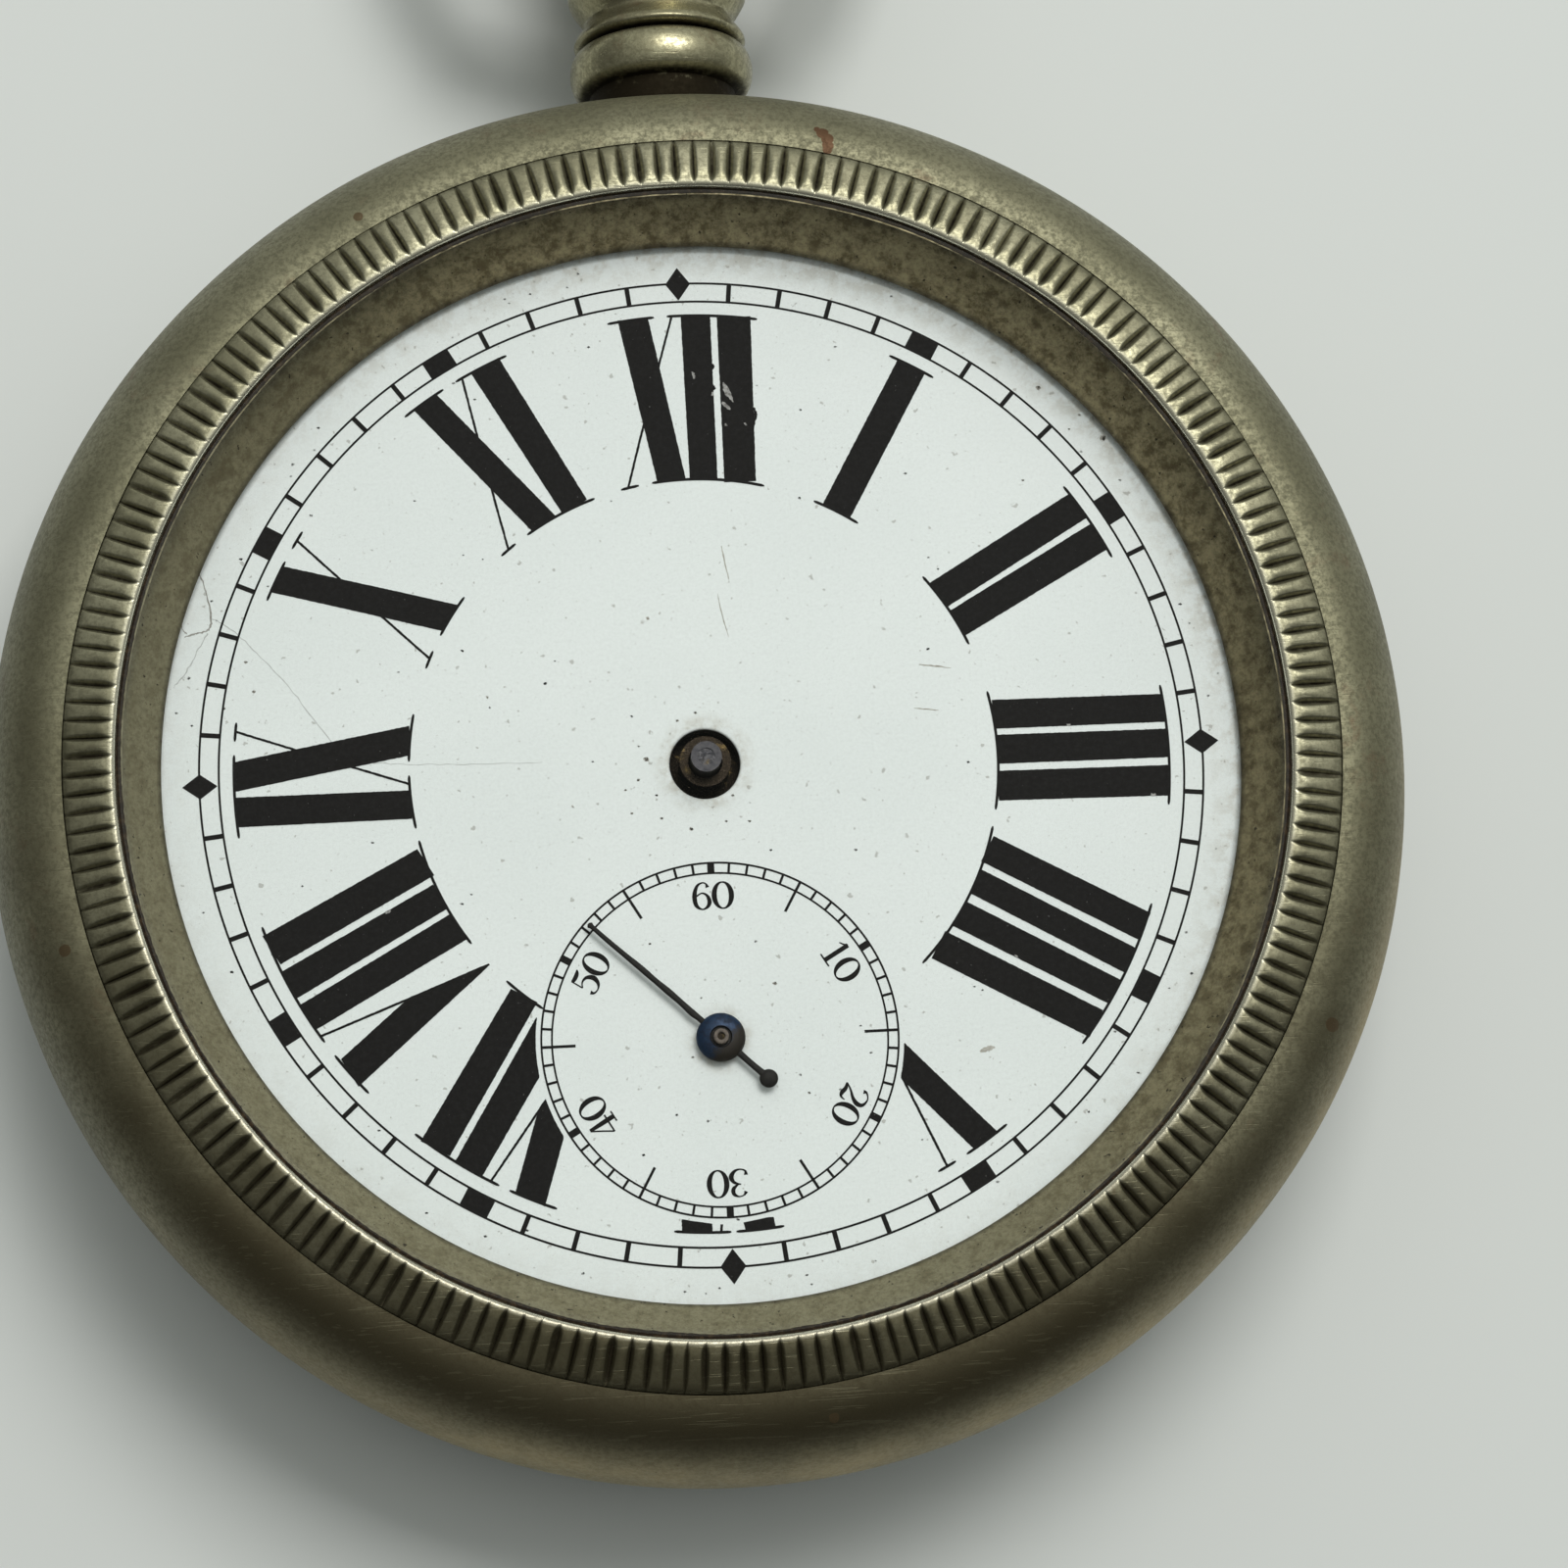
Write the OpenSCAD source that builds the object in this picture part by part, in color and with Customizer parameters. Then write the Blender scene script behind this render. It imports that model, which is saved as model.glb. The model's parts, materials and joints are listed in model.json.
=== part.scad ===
// Open face pocket watch, stem wound, with a seconds bit at 6 o'clock.
// +Z is the dial side, +Y is 12 o'clock, and the case back rests on z = 0.

/* [Case] */
// Radius of the case at its widest
case_r = 28.7; // [28.5:0.1:29.5]
// Height of the widest point above the case back's flat face
case_widest_z = 8; // [7.6:0.1:8.4]
// Outer radius of the narrow screw bezel
bezel_r = 25.33; // [25.2:0.01:25.4]
// Inner radius of the bezel's lip
lip_r = 23.22; // [23.1:0.01:23.3]
// Height of the bezel's top
bezel_top = 13.45; // [13.4:0.05:13.6]
// Height of the crystal's dome
crystal_top = 14.4; // [14.1:0.1:15]
// Outer radius of the screw back's edge
back_r = 28.35; // [28.2:0.05:28.5]

/* [Dial] */
// Height of the dial's face
dial_z = 10; // [9.95:0.01:10.05]
// Thickness of the dial
dial_t = 0.9; // [0.8:0.05:0.9]
// Radius of the hole in the middle of the dial
dial_hole_r = 1.42; // [1.3:0.01:1.6]
// Distance of the seconds bit below the centre
seconds_drop = 11.15; // [11.1:0.01:11.2]

/* [Hand] */
// Length of the seconds hand
hand_len = 6.95; // [6:0.05:7]
// What the seconds hand reads at rest, in seconds
hand_reads = 52.3; // [0:0.1:60]

/* [Pendant] */
// Largest radius of the crown
crown_r = 4.25; // [4:0.05:4.4]
// Radius of the bow's wire
bow_wire_r = 1.2; // [1:0.05:1.3]
// Radius of the middle of the bow's wire
bow_ring_r = 9.4; // [9.2:0.1:9.6]

/* [Balance] */
// Outer radius of the balance rim
balance_r = 7; // [6.5:0.1:7]

/* [Hidden] */
$fn = 96;

// Running clearance on a radius
run = 0.04;

// Heights of the movement, from the back of the watch towards the dial
bridge_z0 = 2.4;
bridge_z1 = 3.6;
plate_z0 = 6.4;
plate_z1 = 8;
plate_r = 22.4;
bridge_r = 21.6;
dial_r = 22.35;
dial_back = dial_z - dial_t;
bore_r = 22.75;
stem_z = 6.5;
stem_r = 0.55;

// Tooth counts
barrel_n = 78;
centre_pinion_n = 12;
centre_n = 80;
third_pinion_n = 10;
third_n = 75;
fourth_pinion_n = 10;
fourth_n = 70;
escape_pinion_n = 7;
escape_n = 15;
cannon_n = 12;
minute_n = 36;
minute_pinion_n = 10;
hour_n = 40;
setting_n = 18;
ratchet_n = 38;
crown_wheel_n = 30;
winding_n = 12;

// Modules of the meshes
barrel_m = 0.24;
centre_m = 0.22;
third_m = 0.2;
fourth_m = 0.17;
cannon_m = 0.18;
winding_m = 0.3;
face_m = 0.24;

// Distance between two arbors in mesh
function mesh(m, a, b) = m * (a + b) / 2;
function spot(r, a) = [r * cos(a), r * sin(a)];
function angle_of(v) = atan2(v[1], v[0]);

// Third point of a triangle on the line a-b, at distances da and db, to the left of a-b
function corner(a, b, da, db) =
  let (d = norm(b - a), u = (b - a) / d, along = (da * da - db * db + d * d) / (2 * d))
  a + along * u + sqrt(da * da - along * along) * [-u[1], u[0]];

// Places of the arbors
centre_p = [0, 0];
fourth_p = [0, -seconds_drop];
third_p = corner(fourth_p, centre_p, mesh(third_m, third_n, fourth_pinion_n),
                 mesh(centre_m, centre_n, third_pinion_n));
escape_p = fourth_p + spot(mesh(fourth_m, fourth_n, escape_pinion_n), -35);
barrel_p = spot(mesh(barrel_m, barrel_n, centre_pinion_n), 35);
motion_d = mesh(cannon_m, cannon_n, minute_n);
hour_m = motion_d * 2 / (minute_pinion_n + hour_n);
minute_p = spot(motion_d, 150);
setting_p = minute_p + spot(mesh(cannon_m, minute_n, setting_n), 120);
crown_wheel_d = mesh(winding_m, ratchet_n, crown_wheel_n);
crown_wheel_p = [0, barrel_p[1] + sqrt(crown_wheel_d * crown_wheel_d - barrel_p[0] * barrel_p[0])];
face_r = face_m * crown_wheel_n / 2;

// Lever escapement, in a straight line from the escape wheel to the balance
escape_r = 3.6;
line_a = 46;
pallet_d = escape_r / cos(30);
pallet_p = escape_p + spot(pallet_d, line_a);
escape_balance_d = 9.55;
balance_p = escape_p + spot(escape_balance_d, line_a);
impulse_r = 1;

// Outline of a gear: each tooth has a root, a flank at the pitch circle and a narrow tip
function gear_outline(n, m, tip, root, wide) =
  let (r = n * m / 2, step = 360 / n)
  [for (i = [0:n - 1]) for (p = [
    [r - root * m, -0.5 * step], [r - root * m, -0.3 * step], [r, -wide / 2 * step],
    [r + 0.6 * tip * m, -0.3 * wide * step], [r + tip * m, -0.1 * wide * step],
    [r + tip * m, 0.1 * wide * step], [r + 0.6 * tip * m, 0.3 * wide * step],
    [r, wide / 2 * step], [r - root * m, 0.3 * step]
  ]) spot(p[0], i * step + p[1])];

module gear(n, m, h, turn = 0, tip = 0.9, root = 1.15, wide = 0.44)
  rotate([0, 0, turn])
    linear_extrude(h)
      polygon(gear_outline(n, m, tip, root, wide));

// A pinion's leaves are narrower than a wheel's teeth, and its gaps are deeper
module leaves(n, m, h, turn = 0)
  gear(n, m, h, turn, 0.75, 1.35, 0.36);

// Wheel with arms: windows between a hub and the toothed rim
module wheel(n, m, h, arms, hub, rim, turn = 0, arm_w = 0.7)
  difference() {
    gear(n, m, h, turn);
    translate([0, 0, -1])
      linear_extrude(h + 2)
        difference() {
          circle(n * m / 2 - rim);
          circle(hub);
          for (i = [0:arms - 1])
            rotate([0, 0, i * 360 / arms])
              translate([0, -arm_w / 2])
                square([n * m / 2, arm_w]);
        }
  }

module at(p, z = 0) translate([p[0], p[1], z]) children();

module rod(p, z0, z1, r) at(p, z0) cylinder(h = z1 - z0, r = r);

// Flat bar with round ends from p to q
module bar(p, q, z0, z1, w) {
  rod(p, z0, z1, w / 2);
  rod(q, z0, z1, w / 2);
  at(p, z0)
    rotate([0, 0, angle_of(q - p)])
      translate([0, -w / 2, 0])
        cube([norm(q - p), w, z1 - z0]);
}

// Ring between two radii
module ring(p, z0, z1, r_in, r_out)
  difference() {
    rod(p, z0, z1, r_out);
    rod(p, z0 - 1, z1 + 1, r_in);
  }

// Cylinder along +Y on the stem's axis
module stem_rod(y0, y1, r)
  translate([0, y0, stem_z])
    rotate([-90, 0, 0])
      cylinder(h = y1 - y0, r = r);

// Solid of revolution about the stem's axis, its profile given as [radius, y]
module stem_turned(pts)
  translate([0, 0, stem_z])
    rotate([-90, 0, 0])
      rotate_extrude()
        polygon(pts);

// Head of a slotted screw facing the back of the watch
module slotted_head(p, z0, z1, r, turn = 0)
  difference() {
    rod(p, z0, z1, r);
    at(p, z0 - 0.05)
      rotate([0, 0, turn])
        translate([-r - 1, -0.12 * r, 0])
          cube([2 * r + 2, 0.24 * r, 0.25]);
  }

// ---------------------------------------------------------------- case

band_z0 = 4.4;
band_r0 = 28.15;
band_z1 = 12.95;
band_r1 = bezel_r + 0.12;
band_steps = 18;

// Outer curve of the band, from the back edge over the widest point to the bezel
function band_curve() = concat(
  [for (i = [0:6]) let (t = i / 6)
    [band_r0 + (case_r - band_r0) * sin(90 * t), band_z0 + (case_widest_z - band_z0) * t]],
  [for (i = [1:band_steps]) let (a = 90 * i / band_steps)
    [band_r1 + (case_r - band_r1) * pow(cos(a), 0.9),
     case_widest_z + (band_z1 - case_widest_z) * pow(sin(a), 1.05)]]
);

module band_profile()
  polygon(concat(
    [[bore_r, plate_z0], [25.4, plate_z0], [25.4, 2.6], [26.8, 2.6], [26.8, band_z0]],
    band_curve(),
    [[band_r1, 12.15], [24.4, 12.15], [24.4, 9.3], [bore_r, 9.3]]
  ));

pendant_plug_r = 2;

module case_body()
  color([0.50, 0.49, 0.40])
    difference() {
      rotate_extrude() band_profile();
      stem_rod(20, 32, 1.3);
      stem_rod(25.3, 32, pendant_plug_r);
    }

module bezel()
  color([0.56, 0.55, 0.45])
    rotate_extrude()
      polygon([
        [21.67, 10.46], [21.67, 10.25], [22.6, 10.1], [22.9, 9.6], [24.3, 9.6], [24.3, 12.2],
        [bezel_r, 12.2], [bezel_r, 13], [bezel_r - 0.2, 13.22], [24.4, bezel_top - 0.05],
        [23.8, bezel_top], [lip_r + 0.1, bezel_top - 0.05], [lip_r, bezel_top - 0.2],
        [lip_r, 12.95], [23.9, 12.8], [23.9, 12.35], [23.35, 12.25]
      ]);

crystal_edge_r = 23.8;
crystal_t = 0.8;
crystal_steps = 16;

// Height of the dome at radius r
function dome(r, top, base) = base + (top - base) * (1 - pow(r / lip_r, 2.4));

module crystal()
  color([0.85, 0.9, 0.9, 0.3])
    rotate_extrude()
      polygon(concat(
        [[crystal_edge_r, 12.4], [crystal_edge_r, 12.7], [lip_r - 0.1, 12.75], [lip_r - 0.1, 13.3]],
        [for (i = [crystal_steps - 1:-1:0]) let (r = (lip_r - 0.1) * i / crystal_steps)
          [r, dome(r, crystal_top, 13.3)]],
        [for (i = [0:crystal_steps - 1]) let (r = (lip_r - 0.8) * i / crystal_steps)
          [r, dome(r, crystal_top - crystal_t, 12.4)]],
        [[lip_r - 0.8, 12.4]]
      ));

module case_back()
  color([0.50, 0.48, 0.38])
    rotate_extrude()
      polygon(concat(
        [[0, 0]],
        [for (i = [0:12]) let (a = 90 * i / 12)
          [19 + (back_r - 19.25) * sin(a), 2.4 - 2.4 * cos(a)]],
        [[back_r, 2.7], [back_r, 4.1], [back_r - 0.2, 4.3], [26.9, 4.3], [26.9, 2.4], [25.6, 2.35]],
        [for (i = [1:8]) let (a = 90 * i / 8) [18.6 + 7 * cos(a), 2.35 - 1.35 * sin(a)]],
        [[0, 1]]
      ));

// ---------------------------------------------------------------- pendant, crown and bow

pivot_y = 35.9;
pendant_top = 37.3;
pendant_plug = [[1.3, 25.4], [pendant_plug_r, 25.4], [pendant_plug_r, 27.8], [3.2, 27.8]];
// Above the ring at its foot: a groove, a flange, a short waist and the shoulder that carries the bow
pendant_neck = [
  [3.1, 31.6], [3.1, 31.75], [3.44, 31.8], [3.48, 31.95], [3.4, 32.15], [3.2, 32.45], [3.05, 32.75],
  [3.05, 32.95], [3.28, 33.25], [3.56, 33.7], [3.66, 34.05], [3.7, 34.6], [3.7, 36.2], [3.55, 36.9],
  [3.3, pendant_top], [1.3, pendant_top]
];

function bulge(r, grow, y0, y1, n) =
  [for (i = [0:n]) let (a = 180 * i / n) [r + grow * sin(a), y0 + (y1 - y0) * (1 - cos(a)) / 2]];

module pendant()
  color([0.52, 0.50, 0.40])
    difference() {
      stem_turned(concat(pendant_plug, bulge(3.2, 0.58, 29.15, 31.55, 10), pendant_neck));
      // the foot is fitted to the band
      difference() {
        rotate_extrude()
          polygon(concat(
            [[20, 0], [back_r + 0.25, 0], [back_r + 0.25, band_z0 + 0.05]],
            [for (p = band_curve()) if (p[1] > band_z0 + 0.1) p],
            [[20, band_z1]]
          ));
        stem_rod(25, 28.8, pendant_plug_r);
      }
      for (s = [-1, 1])
        translate([s * 4, pivot_y, stem_z])
          rotate([0, 90, 0])
            cylinder(h = 4, r = 0.6, center = true);
    }

module pendant_sleeve()
  color([0.72, 0.58, 0.3])
    difference() {
      stem_rod(26, pendant_top, 1.3);
      stem_rod(20, 40, stem_r + run);
    }

flutes = 26;

// Fluted outline of the crown
function crown_outline() = [for (i = [0:flutes * 6 - 1]) let (a = 360 * i / (flutes * 6))
  spot(crown_r - 0.14 + 0.14 * cos(a * flutes), a)];

module crown()
  color([0.58, 0.55, 0.42])
    difference() {
      union() {
        translate([0, 38.2, stem_z])
          rotate([-90, 0, 0])
            linear_extrude(3.6)
              polygon(crown_outline());
        stem_turned([[0, 37.5], [3.2, 37.5], [3.9, 38], [3.9, 42], [3.2, 43], [1.8, 43.5], [0, 43.7]]);
      }
      stem_rod(37, 40.5, stem_r);
    }

module stem()
  color([0.6, 0.6, 0.62])
    difference() {
      union() {
        stem_rod(11, 12.4, 0.35);
        stem_rod(12.4, 40.5, stem_r);
      }
      difference() {
        stem_rod(17.2, 17.8, 2);
        stem_rod(17, 18, 0.4);
      }
    }

boss_r = 1.4;
boss_x0 = 3.75;
boss_x1 = 7.3;
bow_mid = 7;
bow_head_t = 0.6;
bow_head_depth = 0.7;

module bow() {
  gap_a = acos(-bow_mid / bow_ring_r) - 2;
  color([0.54, 0.52, 0.42])
    difference() {
      union() {
        translate([0, pivot_y + bow_mid, stem_z])
          rotate([0, 0, 90 - gap_a])
            rotate_extrude(angle = 2 * gap_a)
              translate([bow_ring_r, 0])
                circle(r = bow_wire_r);
        for (s = [-1, 1])
          translate([s * (boss_x0 + boss_x1) / 2, pivot_y, stem_z])
            rotate([0, 90, 0])
              cylinder(h = boss_x1 - boss_x0, r = boss_r, center = true);
      }
      for (s = [-1, 1])
        translate([s * boss_x1, pivot_y, stem_z])
          rotate([0, 90, 0]) {
            cylinder(h = 10, r = 0.6 + run, center = true);
            cylinder(h = 2 * bow_head_depth, r = 0.95 + run, center = true);
          }
    }
}

module bow_screws()
  color([0.35, 0.36, 0.42])
    for (s = [-1, 1])
      translate([0, pivot_y, stem_z])
        rotate([0, 90 * s, 0]) {
          translate([0, 0, 2.6])
            cylinder(h = boss_x1 - bow_head_t - 2.6, r = 0.6);
          difference() {
            translate([0, 0, boss_x1 - bow_head_t])
              cylinder(h = bow_head_t, r = 0.95);
            translate([-1.5, -0.13, boss_x1 - 0.3])
              cube([3, 0.26, 1]);
          }
        }

// ---------------------------------------------------------------- dial side

feet = [42, 170, 292];
feet_r = 20;
feet_pin_r = 0.5;

module dial()
  color([0.9, 0.92, 0.91])
    union() {
      difference() {
        rod([0, 0], dial_back, dial_z, dial_r);
        rod([0, 0], dial_back - 1, dial_z + 1, dial_hole_r);
        rod(fourth_p, dial_back - 1, dial_z + 1, 0.55);
      }
      for (a = feet)
        rod(spot(feet_r, a), plate_z0 + 0.4, dial_back, feet_pin_r);
    }

hand_z = dial_z + 0.45;
hand_t = 0.14;
hand_a = 90 - hand_reads * 6;

module seconds_hand()
  color([0.1, 0.11, 0.2])
    difference() {
      union() {
        rod(fourth_p, dial_z + 0.12, hand_z + 0.35, 0.32);
        rod(fourth_p, hand_z, hand_z + 0.24, 0.98);
        at(fourth_p, hand_z)
          rotate([0, 0, hand_a]) {
            translate([0, -0.125, 0])
              cube([hand_len, 0.25, hand_t]);
            translate([-2.4, -0.13, 0])
              cube([2.4, 0.26, hand_t]);
            translate([-2.5, 0, 0])
              cylinder(h = hand_t, r = 0.39);
          }
      }
      rod(fourth_p, dial_z - 1, hand_z + 0.2, 0.2);
    }

module hour_wheel()
  color([0.78, 0.66, 0.36])
    difference() {
      union() {
        at(centre_p, 8.55)
          gear(hour_n, hour_m, 0.28, angle_of(minute_p));
        rod(centre_p, 8.55, 10.5, 1.03);
      }
      rod(centre_p, 8, 11, 0.62 + run + 0.03);
    }

module cannon_pinion()
  color([0.5, 0.5, 0.52])
    difference() {
      union() {
        at(centre_p, 8.05)
          leaves(cannon_n, cannon_m, 0.42, angle_of(minute_p) + 180 / cannon_n);
        rod(centre_p, 8.05, 11.5, 0.62);
      }
      rod(centre_p, 8, 12, 0.35);
    }

module minute_wheel()
  color([0.78, 0.66, 0.36])
    difference() {
      union() {
        at(minute_p, 8.1)
          gear(minute_n, cannon_m, 0.25, angle_of(-minute_p));
        at(minute_p, 8.35)
          leaves(minute_pinion_n, hour_m, 0.55, angle_of(-minute_p) + 180 / minute_pinion_n);
      }
      rod(minute_p, 8, 9.1, 0.3 + run);
    }

// Turned so that a gap of its teeth meets the minute wheel, whose phase is set by the cannon pinion
minute_phase = (angle_of(setting_p - minute_p) - angle_of(-minute_p)) * minute_n;
module setting_wheel()
  color([0.6, 0.6, 0.62])
    difference() {
      at(setting_p, 8.1)
        gear(setting_n, cannon_m, 0.25,
             angle_of(minute_p - setting_p) + 180 / setting_n + minute_phase / setting_n);
      rod(setting_p, 8, 9.1, 0.5 + run);
    }

module ratchet_wheel()
  color([0.62, 0.62, 0.64])
    difference() {
      at(barrel_p, 8.12)
        gear(ratchet_n, winding_m, 0.45, angle_of(crown_wheel_p - barrel_p));
      rod(barrel_p, 8, 9, 1);
    }

module ratchet_screw()
  color([0.3, 0.32, 0.45])
    rod(barrel_p, 8.57, 8.85, 1.6);

face_z0 = 7.72;

module crown_wheel()
  color([0.62, 0.62, 0.64])
    difference() {
      union() {
        at(crown_wheel_p, 8.15)
          gear(crown_wheel_n, winding_m, 0.42,
               angle_of(barrel_p - crown_wheel_p) + 180 / crown_wheel_n);
        // teeth on the lower face, with a gap at the stem
        at(crown_wheel_p, face_z0)
          for (i = [0:crown_wheel_n - 1])
            rotate([0, 0, 90 + (i + 0.5) * 360 / crown_wheel_n])
              translate([face_r - 0.4, -0.1, 0])
                cube([0.8, 0.2, 8.2 - face_z0]);
      }
      rod(crown_wheel_p, 7, 9, 0.9 + run);
    }

module crown_wheel_screw()
  color([0.3, 0.32, 0.45]) {
    rod(crown_wheel_p, plate_z1, 8.6, 0.9);
    rod(crown_wheel_p, 8.6, 8.85, 1.6);
  }

click_p = barrel_p + spot(8.6, 68);
click_tip = barrel_p + spot(ratchet_n * winding_m / 2 + 0.62, 40);

module click()
  color([0.62, 0.62, 0.64])
    difference() {
      union() {
        bar(click_p, click_tip, 8.1, 8.5, 0.55);
        rod(click_p, 8.1, 8.5, 1);
      }
      rod(click_p, 8, 9, 0.4 + run);
    }

module click_spring()
  color([0.45, 0.46, 0.5])
    bar(click_p + spot(1.9, 100), click_p + spot(4.4, 150), plate_z1, 8.4, 0.3);

// ---------------------------------------------------------------- keyless work

module winding_pinion()
  color([0.6, 0.6, 0.62])
    difference() {
      translate([0, 14.4, stem_z])
        rotate([-90, 0, 0])
          gear(winding_n, face_m, 1.2, -90, 0.75, 1.1, 0.34);
      stem_rod(14, 16, stem_r + run);
    }

module clutch()
  color([0.6, 0.6, 0.62])
    difference() {
      translate([0, 12.85, stem_z])
        rotate([-90, 0, 0])
          gear(16, 0.15, 1.35, 0);
      stem_rod(12, 15, stem_r + run);
      difference() {
        stem_rod(13.2, 13.75, 2);
        stem_rod(13, 14, 0.85);
      }
    }

lever_p = [-5, 17.5];

module setting_lever()
  color([0.6, 0.6, 0.62])
    difference() {
      union() {
        bar(lever_p, [-0.1, 17.5], 8.1, 8.45, 1);
        rod(lever_p, 8.1, 8.45, 1.1);
        rod([0, 17.5], 7.15, 8.3, 0.25);
      }
      rod(lever_p, 8, 9, 0.4 + run);
    }

yoke_p = [-5.6, 14.6];

module yoke()
  color([0.6, 0.6, 0.62])
    difference() {
      union() {
        bar(yoke_p, [-2.4, 13.48], 5.75, 6.25, 0.9);
        bar([-2.4, 13.48], [-1.12, 13.48], 5.75, 6.25, 0.3);
        rod(yoke_p, 5.75, 6.25, 1);
      }
      rod(yoke_p, 5, 7, 0.4 + run);
    }

// ---------------------------------------------------------------- plates and bridges

pillar_angles = [70, 5, 130, 200, 265];
pillar_ring_r = 20.3;
pillar_r = 1.3;
screw_r = 0.5;
jewel_r = 0.9;
pallet_foot = [12.5, -16.2];
case_screw_angles = [155, 282];
case_screw_ring_r = 21.3;

module main_plate()
  color([0.8, 0.68, 0.38])
    difference() {
      union() {
        rod([0, 0], plate_z0, plate_z1, plate_r);
        ring([0, 0], plate_z1 - 0.1, dial_back, 21, plate_r);
        translate([-1.9, 16.5, 5.3])
          cube([3.8, 4.9, 1.2]);
        translate([-1.1, 10.9, 5.82])
          cube([2.2, 1.3, 0.7]);
        rod(minute_p, plate_z1 - 0.1, 8.95, 0.3);
        rod(setting_p, plate_z1 - 0.1, 8.5, 0.5);
        rod(click_p, plate_z1 - 0.1, 8.7, 0.4);
        rod(lever_p, plate_z1 - 0.1, 8.7, 0.4);
        rod(yoke_p, 5.5, plate_z0 + 0.1, 0.4);
      }
      // slot and face teeth groove of the winding work
      translate([-1.95, 12.25, 4])
        cube([3.9, 4.1, 8]);
      ring(crown_wheel_p, 7.6, 8.6, face_r - 0.6, face_r + 0.6);
      stem_rod(10, 12.6, 0.35 + run);
      stem_rod(12, 24, stem_r + run);
      translate([-0.8, 16.9, stem_z])
        cube([1.6, 2.2, 3]);
      // bearings
      rod(centre_p, 5, 9, 0.5 + run);
      rod(barrel_p, 5, 9, 1 + run);
      for (p = [third_p, fourth_p, escape_p, pallet_p, balance_p])
        rod(p, 5, 9, jewel_r);
      for (a = feet)
        rod(spot(feet_r, a), plate_z0 + 0.4, 9.5, feet_pin_r);
      for (a = case_screw_angles)
        rod(spot(case_screw_ring_r, a), 5, 7.4, screw_r);
      rod(pallet_foot, 5, 7.2, screw_r);
      for (a = feet)
        rotate([0, 0, a])
          translate([feet_r + feet_pin_r + 0.1, 0, 7.3])
            rotate([0, 90, 0])
              cylinder(h = 4, r = 0.4);
    }

module pillars()
  color([0.8, 0.68, 0.38])
    for (a = pillar_angles)
      ring(spot(pillar_ring_r, a), bridge_z1, plate_z0, screw_r, pillar_r);

// The bridges share one round outline, cut by a line across the movement
split_a = 35;
split_d = 2.2;
split_gap = 0.1;

module bridge_half(far)
  difference() {
    rod([0, 0], bridge_z0, bridge_z1, bridge_r);
    rotate([0, 0, split_a])
      translate([far ? split_d + split_gap / 2 - 60 : split_d - split_gap / 2, -30, 0])
        cube([60, 60, 10]);
    rod(balance_p, 0, 10, balance_r + 0.95);
    for (a = pillar_angles)
      rod(spot(pillar_ring_r, a), 0, 10, screw_r);
  }

module barrel_bridge()
  color([0.72, 0.72, 0.7])
    difference() {
      bridge_half(true);
      rod(barrel_p, 0, 10, 1 + run);
    }

cock_foot = balance_p + spot(10.3, 190);

module train_bridge()
  color([0.72, 0.72, 0.7])
    difference() {
      bridge_half(false);
      for (p = [centre_p, third_p, fourth_p, escape_p])
        rod(p, 0, 10, jewel_r);
      rod(cock_foot, 0, 3.2, screw_r);
      rod(pallet_foot, 0, 10, 1.2);
    }

cock_z0 = 1.5;
cock_z1 = 2.2;
stud_p = balance_p + spot(3.35, 190);

module balance_cock()
  color([0.74, 0.73, 0.7])
    difference() {
      union() {
        bar(balance_p, cock_foot, cock_z0, cock_z1, 2.8);
        rod(balance_p, cock_z0, cock_z1, 2.3);
        rod(balance_p, 1.2, cock_z0 + 0.1, 1.15);
        rod(cock_foot, cock_z0, bridge_z0, 1.6);
        rod(stud_p, cock_z1 - 0.1, 2.62, 0.28);
      }
      rod(balance_p, 0, 3, 0.7);
      rod(cock_foot, 0, 3, screw_r);
    }

module pallet_cock()
  color([0.74, 0.73, 0.7])
    difference() {
      union() {
        bar(pallet_p, pallet_foot, 3.7, 4.25, 2);
        rod(pallet_foot, 3.7, plate_z0, 1.2);
      }
      rod(pallet_p, 3, 5, 0.6);
      rod(pallet_foot, 3, 7, screw_r);
    }

pivot_r = 0.2;

module jewels()
  color([0.75, 0.12, 0.2]) {
    for (p = [third_p, fourth_p, escape_p])
      ring(p, bridge_z0 + 0.2, bridge_z1 - 0.2, pivot_r + run, jewel_r);
    ring(centre_p, bridge_z0 + 0.2, bridge_z1 - 0.2, 0.3 + run, jewel_r);
    for (p = [third_p, escape_p, pallet_p, balance_p])
      ring(p, plate_z0 + 0.2, plate_z0 + 1, pivot_r + run, jewel_r);
    ring(fourth_p, plate_z0 + 0.2, plate_z0 + 1, 0.3 + run, jewel_r);
    ring(pallet_p, 3.7, 4.25, pivot_r + run, 0.6);
    ring(balance_p, 1.4, 2.1, pivot_r + run, 0.7);
  }

module plate_screws()
  color([0.25, 0.3, 0.5]) {
    for (a = pillar_angles) {
      rod(spot(pillar_ring_r, a), bridge_z0, plate_z0, screw_r);
      slotted_head(spot(pillar_ring_r, a), 1.95, bridge_z0, 1.1, a * 2.3);
    }
    rod(cock_foot, cock_z0, 3.2, screw_r);
    slotted_head(cock_foot, 1.15, cock_z0, 1.1, 20);
    rod(pallet_foot, 3.7, 7.2, screw_r);
    slotted_head(pallet_foot, 3.35, 3.7, 0.9, 70);
  }

module case_screws()
  color([0.25, 0.3, 0.5])
    for (a = case_screw_angles) {
      rod(spot(case_screw_ring_r, a), plate_z0, 7.4, screw_r);
      slotted_head(spot(case_screw_ring_r, a), 5.9, plate_z0, 2, a);
    }

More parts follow.
